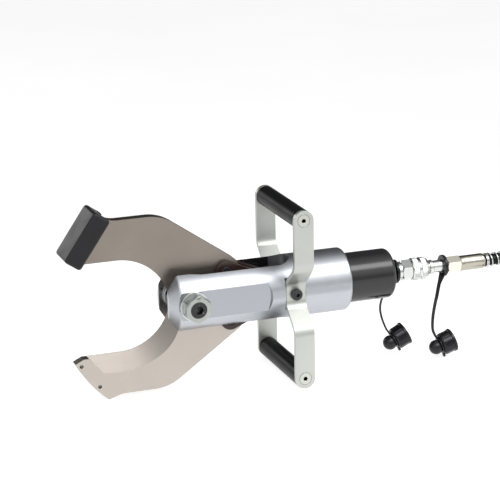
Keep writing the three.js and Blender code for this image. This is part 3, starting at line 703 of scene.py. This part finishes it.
def add_hose():
    points = hose_points()
    line = [TO_ROW @ p for p in smooth_line(points, 4)]
    data = bpy.data.curves.new("hose", "CURVE")
    data.dimensions = "3D"
    data.bevel_depth = HOSE_R * MM
    data.bevel_resolution = 6
    data.use_fill_caps = True
    spline = data.splines.new("POLY")
    spline.points.add(len(line) - 1)
    for target, p in zip(spline.points, line):
        target.co = (*p, 1)
    spline.use_smooth = True
    data.materials.append(MATERIALS["hose"])
    hose = bpy.data.objects.new("hose", data)
    bpy.context.scene.collection.objects.link(hose)
    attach(hose, "frame")
    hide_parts("hose_lead", "hose_coil")


# ------------------------------------------------------------------ body and cylinder
def add_yoke():
    far = 60
    pocket_r, pocket_x = 32, 67.2
    pocket = [(BODY_FRONT - 5, -pocket_r), *arc(pocket_x, 0, pocket_r, -90, 90, 48),
              (BODY_FRONT - 5, pocket_r)]
    slot = [(BODY_FRONT - 5, -CHEEK_HALF), (0, -CHEEK_HALF), (CHEEK_END, -SLOT_HALF),
            *arc(SLOT_REAR_CENTRE, 0, SLOT_HALF, -90, 90, 40),
            (CHEEK_END, SLOT_HALF), (0, CHEEK_HALF), (BODY_FRONT - 5, CHEEK_HALF)]
    reach = BAR_WIDTH / 2 + GAP
    seat = [(HANDLE_X - reach, -far), (HANDLE_X + reach, -far), (HANDLE_X + reach, far),
            (HANDLE_X - reach, far)]
    cuts = [prism(slot, "Z", -far, far)]
    for side in (1, -1):
        for depth, outline in ((FLAT_Y, pocket), (SEAT_Y, seat)):
            low, high = sorted((side * depth, side * far))
            cuts.append(prism(outline, "Y", low, high))
    cuts.append(turned([(0, 100), (27, 100), (27, 150.3), (BARREL_R + 0.2, 150.3), (BARREL_R + 0.2, 206),
                        (0, 206)],
                       segments=128))
    cuts.append(turned([(0, -far), (10.3, -far), (10.3, far), (0, far)], "Y", segments=64))
    side = [(BODY_R, x) for x in range(-8, BODY_REAR - 6, 8)]
    body = turned([(0, BODY_FRONT), (24.3, BODY_FRONT, 3.5), (BODY_R, -16, 5), *side,
                   (BODY_R, BODY_REAR, 4), (0, BODY_REAR)], segments=192)
    piece(solid(body, cuts), "yoke_body_skin", MATERIALS["satin"], "frame", ["yoke_body"],
          bevel=0.7)


def add_cylinder():
    barrel = turned([(22.6, 150.3), (BARREL_R, 150.3, 0.8), (BARREL_R, 267.5, 6), (8.4, 267.5, 0.8),
                     (8.4, 256), (4, 256), (4, 246), (22.6, 246)], segments=160, steps=9)
    piece(barrel, "barrel_skin", MATERIALS["barrel"], "frame", ["barrel"])


# ------------------------------------------------------------------ blades
GUARD_HOLES = [(-136.1, -65.7), (-114.4, -94.1)]


def blade_outline():
    slope = 0.61
    span = math.hypot(TAIL.x, TAIL.z)
    upper = math.degrees(math.atan2(-TAIL.z, TAIL.x) + math.acos((BOSS_R - TAIL_EYE_R) / span))
    back = math.degrees(slope) - 90
    nose, heel, control = Vector((-143.5, -62)), Vector((-103.7, -112)), Vector((-129.1, -90.8))
    end = []
    for k in range(17):
        t = k / 16
        end.append(tuple(nose * (1 - t) ** 2 + control * 2 * t * (1 - t) + heel * t * t))
    cx, cz, r = CRESCENT
    return [(-133, -57), *end, *fillet([heel, (-87.5, -106.5, 30), (-70, -106.5)])[1:-1],
            *arc(-45, -51.2, 55.3, -90, back, 14), *arc(TAIL.x, -TAIL.z, TAIL_EYE_R, back, upper, 30),
            *arc(0, 0, BOSS_R, upper, 198, 40), *arc(cx, cz, r, -13.9, -90, 60)]


def bevel_wedge():
    inner, outer = -BLADE_INNER - 0.5, -BLADE_INNER - BLADE_T
    rings = []

    def section(edge, back, over=0.12):
        def at(t):
            return Vector((edge[0] + (back[0] - edge[0]) * t, inner + (outer - inner) * t,
                           edge[1] + (back[1] - edge[1]) * t))
        opened, beyond = at(-over), at(1 + over)
        rings.append([opened, beyond, Vector((opened.x, beyond.y - 1, opened.z))])

    section((-126.6, -57), (-110, -77.5))
    cx, cz, r = CRESCENT
    steps = 48
    for k in range(steps + 1):
        a = math.radians(-90 + 78 * k / steps)
        past = max(0.0, 1 + math.degrees(a) / 55)
        width = 21.5 * (1 - past * past)
        section((cx + r * math.cos(a), cz + r * math.sin(a)),
                (cx + (r + width) * math.cos(a), cz + (r + width) * math.sin(a)))
    return loft(rings)


def lower_blade():
    y0, y1 = -BLADE_INNER - BLADE_T, -BLADE_INNER
    far = 30
    cuts = [turned([(0, -far), (12.8, -far), (12.8, far), (0, far)], "Y", segments=48),
            turned([(0, -far), (6.8, -far), (6.8, far), (0, far)], "Y", (TAIL.x, -TAIL.z), 40)]
    for hole in GUARD_HOLES:
        cuts.append(turned([(0, -far), (2.4, -far), (2.4, far), (0, far)], "Y", hole, 32))
    cuts.append(bevel_wedge())
    return solid(prism(blade_outline(), "Y", y0, y1), cuts)


def mark_outline(blade):
    """Marks the edges of the outline behind the crescent, which are broken; not the holes'."""
    cx, cz, r = CRESCENT
    kept = [(cx, cz, r + 2), (0, 0, 14), (TAIL.x, -TAIL.z, 8), *((x, z, 4) for x, z in GUARD_HOLES)]
    bm = bmesh.new()
    bm.from_mesh(blade.data)
    weight = bm.edges.layers.float.new("bevel_weight_edge")
    for edge in bm.edges:
        clear = all(math.hypot(v.co.x - x, v.co.z - z) > reach for v in edge.verts for x, z, reach in kept)
        if clear and len(edge.link_faces) == 2 and edge.calc_face_angle() > 0.9:
            edge[weight] = 1.0
    bm.to_mesh(blade.data)
    bm.free()
    return blade


def add_blades():
    piece(mark_outline(lower_blade()), "lower_blade_skin", MATERIALS["lower_blade"], "lower_jaw",
          ["lower_blade"], bevel=0.9, sharp=16, marked=True)
    piece(turn_over(mark_outline(lower_blade())), "upper_blade_skin", MATERIALS["upper_blade"],
          "upper_jaw", ["upper_blade"], bevel=0.9, sharp=16, marked=True)


def add_tip_guard():
    tilt = math.radians(55.2)
    body = block(-34.5, 34.5, -23.5, 23.5, -11.75, 11.75, r=4, steps=8)
    body.transform(Matrix.Translation((-124.66, 0, 90.56)) @ Matrix.Rotation(-tilt, 4, "Y"))
    half = BLADE_INNER + BLADE_T + 0.4
    pocket = turned([(0, -half), (157.9, -half), (157.9, half), (0, half)], "Y", segments=360)
    piece(solid(body, [pocket]), "tip_guard_skin", MATERIALS["guard"], "upper_jaw",
          ["tip_guard"], bevel=0.4)
    for i, (x, z) in enumerate(GUARD_HOLES):
        head = turned([(0, 1), (2.05, 1), (2.05, 23.8), (4, 23.8, 0.3), (4, 26.2, 1.6), (0, 26.2)],
                      "Y", (x, -z), 40)
        socket = prism([(x + u, v - z) for u, v in regular(6, 2.5)], "Y", 24.7, 28)
        piece(solid(head, [socket]), f"tip_guard_screw_{i + 1}_skin", MATERIALS["oxide"],
              "upper_jaw", [f"tip_guard_screw_{i + 1}"])


# ------------------------------------------------------------------ pivot
def washer(name, low, high, outer, material, node):
    profile = [(10.15, low, 0.3), (outer, low, 0.5), (outer, high, 0.5), (10.15, high, 0.3)]
    piece(turned(profile, "Y", segments=96, steps=3), name, MATERIALS[material], "frame", [node])


def add_pivot():
    turn = math.pi / 6
    far = 80
    shank = turned([(0, -54.4), (9.85, -54.4, 1.2), (9.85, 39.5), (0, 39.5)], "Y", segments=80)
    head = solid(prism(regular(6, 30, turn), "Y", 38.5, 50.2), keep=turned(
        [(0, 38.5), (17.6, 38.5), (17.6, 48.3), (14.9, 50.2), (0, 50.2)], "Y", segments=96))
    joined = bmesh.new()
    joined.from_mesh(head.data)
    bpy.data.objects.remove(head)
    bolt = solid(shank, [prism(regular(6, 10), "Y", -55.5, -49.5)], [joined])
    piece(bolt, "pivot_bolt_skin", MATERIALS["oxide"], "frame", ["pivot_bolt"], bevel=0.25)
    cone = turned([(0, -53.6), (14.7, -53.6), (17.6, -52), (17.6, -38.5), (0, -38.5)], "Y", segments=96)
    bore = turned([(0, -far), (10.15, -far), (10.15, far), (0, far)], "Y", segments=80)
    nut = solid(prism(regular(6, 30, turn), "Y", -53.6, -38.5), [bore], keep=cone)
    piece(nut, "pivot_nut_skin", MATERIALS["nut"], "frame", ["pivot_nut"], bevel=0.3)
    for side, low, high, outer in (("washer_near", -38.2, -35.6, 18), ("washer_far", 35.6, 38.2, 18),
                                   ("thrust_washer_near", -17.7, -13.3, BOSS_R),
                                   ("thrust_washer_far", 13.3, 17.7, BOSS_R)):
        washer(f"{side}_skin", low, high, outer, "zinc", side)


# ------------------------------------------------------------------ linkage
def link_plate(y0):
    y1 = y0 + 6.8
    angle = math.asin(TAIL.z / LINK_LENGTH) + math.radians(LINK_SLACK_ANGLE)
    r = 13
    outline = [*arc(0, 0, r, 90, 270, 30), *arc(LINK_LENGTH, 0, r, -90, 90, 30)]
    far = 40
    cuts = [turned([(0, -far), (6.8, -far), (6.8, far), (0, far)], "Y", (0, 0), 48),
            turned([(0, -far), (9.3, -far), (9.3, far), (0, far)], "Y", (LINK_LENGTH, 0), 48)]
    plate = solid(prism(outline, "Y", y0, y1), cuts)
    plate.data.transform(Matrix.Translation((TAIL.x, 0, -TAIL.z)) @ Matrix.Rotation(-angle, 4, "Y"))
    return plate


def tail_pin():
    return new_object("work", turned([(0, -20.4), (6.5, -20.4, 0.9), (6.5, 7.6, 0.9), (0, 7.6)],
                                     "Y", (TAIL.x, -TAIL.z), 48))


def add_linkage():
    for name, y0, over, body in (("lower_link_near", -20.3, False, "lower_links"),
                                 ("lower_link_far", 0.7, False, "lower_links"),
                                 ("upper_link_far", -20.3, True, "upper_links"),
                                 ("upper_link_near", 0.7, True, "upper_links")):
        plate = link_plate(y0)
        piece(turn_over(plate) if over else plate, f"{name}_skin", MATERIALS["link"], body,
              [name], bevel=0.6)
    piece(tail_pin(), "lower_tail_pin_skin", MATERIALS["oxide"], "lower_links", ["lower_tail_pin"])
    piece(turn_over(tail_pin()), "upper_tail_pin_skin", MATERIALS["oxide"], "upper_links",
          ["upper_tail_pin"])
    tongue = [*arc(PIN_REST_X, 0, 12, 90, 270, 32), (141.6, -12), (141.6, 12)]
    hole = turned([(0, -40), (6.6, -40), (6.6, 40), (0, 40)], "Y", (PIN_REST_X, 0), 48)
    base = turned([(0, 140.6), (20, 140.6, 1), (20, 149.5, 1), (7.2, 149.5), (7.2, 157.5, 0.8), (0, 157.5)])
    crosshead = solid(base, [hole], [prism(tongue, "Y", 8.1, 12.9), prism(tongue, "Y", -12.9, -8.1)])
    piece(crosshead, "crosshead_skin", MATERIALS["steel"], "ram", ["crosshead"], bevel=0.4)
    pin = turned([(0, -20.2), (6.3, -20.2, 0.8), (6.3, 20.2, 0.8), (0, 20.2)], "Y", (PIN_REST_X, 0), 48)
    piece(pin, "crosshead_pin_skin", MATERIALS["oxide"], "ram", ["crosshead_pin"])


# ------------------------------------------------------------------ handle frame
def end_screw_cone(grow, z):
    top = BAR_OUTER_Y
    return turned([(0, 50), (4 + grow, 50), (4 + grow, top - 3.6 - grow), (7.6 + grow, top - grow),
                   (7.6 + grow, top + grow), (0, top + grow)], "Y", (HANDLE_X, z), 48)


def handle_bar():
    seat = SEAT_Y + GAP
    inner = BAR_OUTER_Y - BAR_T
    bend, out, end = 15, 40, GRIP_Z + BAR_WIDTH / 2
    shift = BAR_T * math.tan(math.atan2(inner - seat, out - bend) / 2)
    small, large = 15, 20
    half = [(seat, bend, large), (inner, out, small), (inner, end), (BAR_OUTER_Y, end),
            (BAR_OUTER_Y, out - shift, large), (seat + BAR_T, bend - shift, small)]
    strip = half + [(p[0], -p[1], *p[2:]) for p in reversed(half)]
    face = [*arc(HANDLE_X, GRIP_Z, BAR_WIDTH / 2, 0, 180, 40),
            *arc(HANDLE_X, -GRIP_Z, BAR_WIDTH / 2, 180, 360, 40)]
    low, high = HANDLE_X - BAR_WIDTH / 2, HANDLE_X + BAR_WIDTH / 2
    cuts = [turned([(0, 0), (4.3, 0), (4.3, 80), (0, 80)], "Y", (HANDLE_X, 0), 40)]
    cuts += [end_screw_cone(GAP, z) for z in (-GRIP_Z, GRIP_Z)]
    return solid(prism(fillet(strip, True, 8), "X", low - 0.01, high + 0.01), cuts,
                 keep=prism(face, "Y", 0, 90))


def end_screw(z):
    socket = prism([(HANDLE_X + u, z + v) for u, v in regular(6, 5)], "Y", BAR_OUTER_Y - 5, 80)
    return solid(end_screw_cone(0, z), [socket])


def centre_screw():
    seat = SEAT_Y + BAR_T + 2 * GAP
    head = turned([(0, 27), (4, 27), (4, seat), (7.2, seat, 0.4), (7.2, seat + 5.2, 2.4), (0, seat + 5.2)],
                  "Y", (HANDLE_X, 0), 56)
    socket = prism([(HANDLE_X + u, v) for u, v in regular(6, 5)], "Y", seat + 2.2, 80)
    return solid(head, [socket])


def add_handles():
    for side, over in (("far", False), ("near", True)):
        flip = turn_over if over else (lambda obj: obj)
        piece(flip(handle_bar()), f"handle_bar_{side}_skin", MATERIALS["bar"], "frame",
              [f"handle_bar_{side}"], bevel=0.7)
        piece(flip(centre_screw()), f"handle_centre_screw_{side}_skin", MATERIALS["oxide"], "frame",
              [f"handle_centre_screw_{side}"], bevel=0.2)
        for level, z in (("upper", GRIP_Z), ("lower", -GRIP_Z)):
            piece(flip(end_screw(-z if over else z)), f"handle_end_screw_{level}_{side}_skin",
                  MATERIALS["screw"], "frame", [f"handle_end_screw_{level}_{side}"],
                  bevel=0.2)
    half = BAR_OUTER_Y - BAR_T - 2 * GAP
    for level, z in (("upper", GRIP_Z), ("lower", -GRIP_Z)):
        profile = [(9.3, -half), (12.5, -half, 1), (12.5, half, 1), (9.3, half)]
        piece(turned(profile, "Y", (HANDLE_X, z), 96), f"handle_grip_{level}_skin", MATERIALS["grip"],
              "frame", [f"handle_grip_{level}"])


# ------------------------------------------------------------------ couplings
SOCKET_START = 279.4
SOCKET_END = 318.5
HEX_START = 283.8
HEX_END = 297
HEX_CHAMFER = 1.4  # along X
COLLAR_R = 11.5
TUBE_R = 10.7
SOCKET_BORE_R = 5
MOUTH_R = 8.1
MOUTH_START = 302  # where the plug's nose stops in the socket


def add_couplings():
    adaptor = turned([(4, 256.3), (8, 256.3), (8, 267.8), (10.2, 268.2, 0.6), (10.2, 272.5, 0.8),
                      (7.5, 273.5, 0.6), (7.5, 279.1), (4, 279.1)])
    piece(adaptor, "port_adaptor_skin", MATERIALS["oxide"], "frame", ["port_adaptor"])
    inside = HEX_START + 1.2
    neck = turned([(SOCKET_BORE_R, SOCKET_START), (COLLAR_R, SOCKET_START, 0.5), (COLLAR_R, inside),
                   (TUBE_R, inside), (TUBE_R, SOCKET_END, 0.4), (MOUTH_R, SOCKET_END, 0.4),
                   (MOUTH_R, MOUTH_START), (SOCKET_BORE_R, MOUTH_START)])
    cone = turned([(0, HEX_START), (11.8, HEX_START), (13.9, HEX_START + HEX_CHAMFER),
                   (13.9, HEX_END - HEX_CHAMFER), (12.2, HEX_END), (0, HEX_END)])
    hexagon = solid(prism(regular(6, 24, math.pi / 6), "X", HEX_START, HEX_END), keep=cone)
    joined = bmesh.new()
    joined.from_mesh(hexagon.data)
    bpy.data.objects.remove(hexagon)
    bore = turned([(0, 270), (SOCKET_BORE_R, 270), (SOCKET_BORE_R, MOUTH_START),
                   (MOUTH_R, MOUTH_START), (MOUTH_R, 330), (0, 330)])
    piece(solid(neck, [bore], [joined]), "coupler_socket_skin", MATERIALS["zinc"], "frame",
          ["coupler_socket"], bevel=0.25)

    def knurl(r, t, a):
        banded = 299.2 < t < 305.4 or 310 < t < 315.6
        return r + (0.28 * math.cos(44 * a) if banded and r > 13.2 else 0)

    bands = [(11, 297.6), (13, 297.6, 0.3), (14, 298.9, 0.3)]
    bands += [(14.1, 299.3 + 0.6 * k) for k in range(11)]
    bands += [(14, 305.9, 0.3), (12.9, 306.8, 0.3), (12.9, 308.6, 0.3), (14, 309.6, 0.3)]
    bands += [(14.1, 310.1 + 0.6 * k) for k in range(10)]
    bands += [(14, 316.2, 0.5), (12.4, 319.4, 0.8), (11, 319.4)]
    piece(turned(bands, segments=352, steps=3, radius=knurl), "coupler_sleeve_skin", MATERIALS["zinc"],
          "collar", ["coupler_sleeve"], sharp=50)
    plug = turned([(3.5, 302.4), (6.8, 302.4), (7.8, 303.9), (7.8, 322, 0.4), (9.2, 323, 0.4),
                   (9.2, 327, 0.4), (7.8, 328, 0.4), (7.8, 346.9), (3.5, 346.9)])
    piece(plug, "coupler_plug_skin", MATERIALS["zinc"], "frame", ["coupler_plug"])
    add_hose_end(347.2, 365.3, "hose_hex_skin", ["hose_hex"])
    piece(ferrule(365.3, 399), "hose_ferrule_skin", MATERIALS["ferrule"], "frame",
          ["hose_ferrule"])


def add_hose_end(start, end, name, nodes):
    cone = turned([(0, start), (9.6, start), (11, start + 1), (11, end - 1.3), (9.8, end - 0.3),
                   (0, end - 0.3)])
    bore = turned([(0, start - 5), (3.5, start - 5), (3.5, end + 5), (0, end + 5)])
    hexagon = solid(prism(regular(6, 19, math.pi / 6), "X", start, end - 0.3), [bore], keep=cone)
    piece(hexagon, name, MATERIALS["yellow_zinc"], "frame", nodes, bevel=0.25)


def ferrule(start, end):
    """A crimped ferrule: flats pressed along its middle, with rolled ends."""
    def crimped(r, t, a):
        middle = min(1.0, max(0.0, (t - start - 5) / 2)) * min(1.0, max(0.0, (end - 5 - t) / 2))
        return r - 0.22 * middle * (0.5 + 0.5 * math.cos(8 * a)) if r > 8 else r

    along = [(9.7, start + 4 + (end - start - 8) * k / 24) for k in range(25)]
    return turned([(3.5, start), (8.6, start, 0.3), (9.7, start + 1.3, 0.5), *along,
                   (9.7, end - 2, 0.4), (8.9, end, 0.4), (3.5, end)], segments=128, steps=3, radius=crimped)


def add_spring_guard():
    wire, mean, pitch, start, end = 0.95, 8.35, 8.5, 401.2, 457.8
    turns = (end - start - 6) / pitch
    count = 40
    points = []
    total = int((turns + 4) * count)
    for k in range(total + 1):
        n = k / count
        closed = 2.0
        x = start + 2 * wire * min(n, closed) + pitch * max(0, min(n - closed, turns))
        x += 2 * wire * max(0, n - closed - turns) - 4 * wire
        a = 2 * math.pi * n
        points.append(Vector((x + 4 * wire, mean * math.cos(a), mean * math.sin(a))))
    spring = swept(points, lambda share, i: circle(wire, 10), (0, 1, 0))
    piece(spring, "hose_spring_guard_skin", MATERIALS["zinc"], "frame", ["hose_spring_guard"],
          sharp=60)


def on_coil(obj):
    obj.data.transform(Matrix.Translation(FAR_END) @ Matrix.Rotation(math.pi / 2, 4, "Z"))
    return obj


def add_far_end():
    piece(on_coil(new_object("work", ferrule(0, 34))), "hose_far_ferrule_skin",
          MATERIALS["ferrule"], "frame", ["hose_far_ferrule"])
    cone = turned([(0, 34.6), (9.6, 34.6), (11, 35.8), (11, 47.4), (9.8, 48.6), (0, 48.6)])
    hexagon = solid(prism(regular(6, 19), "X", 34.6, 48.6), keep=cone)
    nose = bmesh.new()
    nose.from_mesh(hexagon.data)
    bpy.data.objects.remove(hexagon)
    body = turned([(0, 40), (8.2, 40), (8.2, 54, 0.6), (7.8, 55, 0.4), (7.8, 63, 0.3), (7, 64, 0.3),
                   (7, 66, 0.3), (7.8, 67, 0.3), (7.8, 68.5), (6.8, 70), (0, 70)])
    bore = turned([(0, 30), (3.5, 30), (3.5, 75), (0, 75)])
    fitting = on_coil(solid(body, [bore], [nose]))
    piece(fitting, "hose_far_fitting_skin", MATERIALS["zinc"], "frame", ["hose_far_fitting"],
          bevel=0.25)


# ------------------------------------------------------------------ dust caps
CAP_DEPTH = 15
RING_WIDTH = 4  # of a strap's ring round the coupling
CAPS = {
    1: {"mouth": 15.2, "at": (291.8, 0, -82.7), "pitch": 26.6, "ring": (274.6, 7.9, 15.2),
        "flat": (1, 0.5, 0)},
    2: {"mouth": 15, "at": (343.5, -30, -89.4), "pitch": 18, "ring": (341.3, 8.1, 13.8),
        "flat": (1, 0, 0)},
}
STRAPS = {
    1: [(276.2, 3, -11.6), (273.5, 10, -24), (268.5, 15, -34.5), (265.2, 16, -42.4),
        (263.4, 15, -51.2), (263.4, 12, -59.8), (264.6, 7.5, -68.2), (266.6, 3.5, -75.4),
        (268.9, 1, -79.6), (270.7, 0.3, -81.6)],
    2: [(342, -2, -9.4), (336, -5, -22), (331.7, -8, -35.7), (327.3, -12, -45.1),
        (322, -18, -57.4), (319.3, -22, -66.5), (318, -25.6, -74), (319, -28.2, -79.5),
        (321, -29.6, -83.4), (322.9, -30, -85.4)],
}


def cap_move(cap):
    return Matrix.Translation(cap["at"]) @ Matrix.Rotation(-math.radians(cap["pitch"]), 4, "Y")


def dust_cap(cap):
    r, back = cap["mouth"], -CAP_DEPTH

    def ribbed(q, t, a):
        skirt = back + 0.6 < t < -3.6 and q > r - 2
        return q + (0.35 * max(0.0, math.cos(12 * a)) ** 4 if skirt else 0)

    skirt = [(r - 1.2, back + 1 + 1.2 * k) for k in range(9)]
    dome = [(9.3 * math.cos(math.radians(a)), back - 8.9 - 9.1 * math.sin(math.radians(a)))
            for a in range(80, -26, -15)]
    profile = [(0, back - 18), *dome, (7.4, back - 4.6, 0.5), (7.4, back - 2.2), (r - 2.4, back - 2, 0.8),
               (r - 1.2, back, 0.4), *skirt, (r - 1.1, -3.4, 0.3), (r, -3, 0.5), (r, 0, 0.5),
               (r - 2.2, 0, 0.5), (r - 2.8, back + 0.6, 1), (0, back + 0.6)]
    tab = block(back - 3.4, back - 0.4, -1.8, 1.8, -r - 1.5, 4 - r, r=0.5, steps=3)
    return solid(turned(profile, segments=144, steps=4, radius=ribbed), joins=[tab])


def cap_strap(number):
    cap = CAPS[number]
    start, inner, outer = cap["ring"]
    loop = turned([(inner, start, 0.4), (outer, start, 1), (outer, start + RING_WIDTH, 1),
                   (inner, start + RING_WIDTH, 0.4)], segments=80)
    back = -CAP_DEPTH
    eye = turned([(7.7, back - 4.1, 0.3), (10.8, back - 4.1, 0.6), (10.8, back - 2.4, 0.6),
                  (7.7, back - 2.4, 0.3)], segments=72)
    eye.transform(cap_move(cap))

    def band(share, i):
        width = 2.6 - 1.2 * share + 2 * max(0.0, 1 - share / 0.1)
        return fillet([(-width, -0.7, 0.5), (width, -0.7, 0.5), (width, 0.7, 0.5), (-width, 0.7, 0.5)],
                      True, 3)

    line = smooth_line(STRAPS[number], 6)
    return solid(loop, joins=[swept(line, band, cap["flat"]), eye])


def add_dust_caps():
    for number, cap in CAPS.items():
        body = f"cap_{number}"
        piece(dust_cap(cap), f"dust_cap_{number}_skin", MATERIALS["cap"], body, [f"dust_cap_{number}"],
              sharp=45, move=cap_move(cap))
        piece(cap_strap(number), f"dust_cap_strap_{number}_skin", MATERIALS["cap"], body,
              [f"dust_cap_strap_{number}"], sharp=40)


# ------------------------------------------------------------------ pieces that stay as the CAD has them
KEPT = {
    "steel": ["piston", "piston_rod", "return_spring", "handle_rod_upper", "handle_rod_lower"],
    "bronze": ["rod_guide", "piston_wear_ring", "pivot_bushing"],
    "seal": ["barrel_o_ring", "piston_seal"],
}


def finish_kept():
    for finish, names in KEPT.items():
        for name in names:
            node = frame["nodes"][name]
            node.data.materials.clear()
            node.data.materials.append(MATERIALS[finish])


add_camera()
add_far_end()
add_spring_guard()
add_hose()
add_stage()
add_yoke()
add_cylinder()
add_blades()
add_tip_guard()
add_pivot()
add_linkage()
add_handles()
add_couplings()
add_dust_caps()
finish_kept()
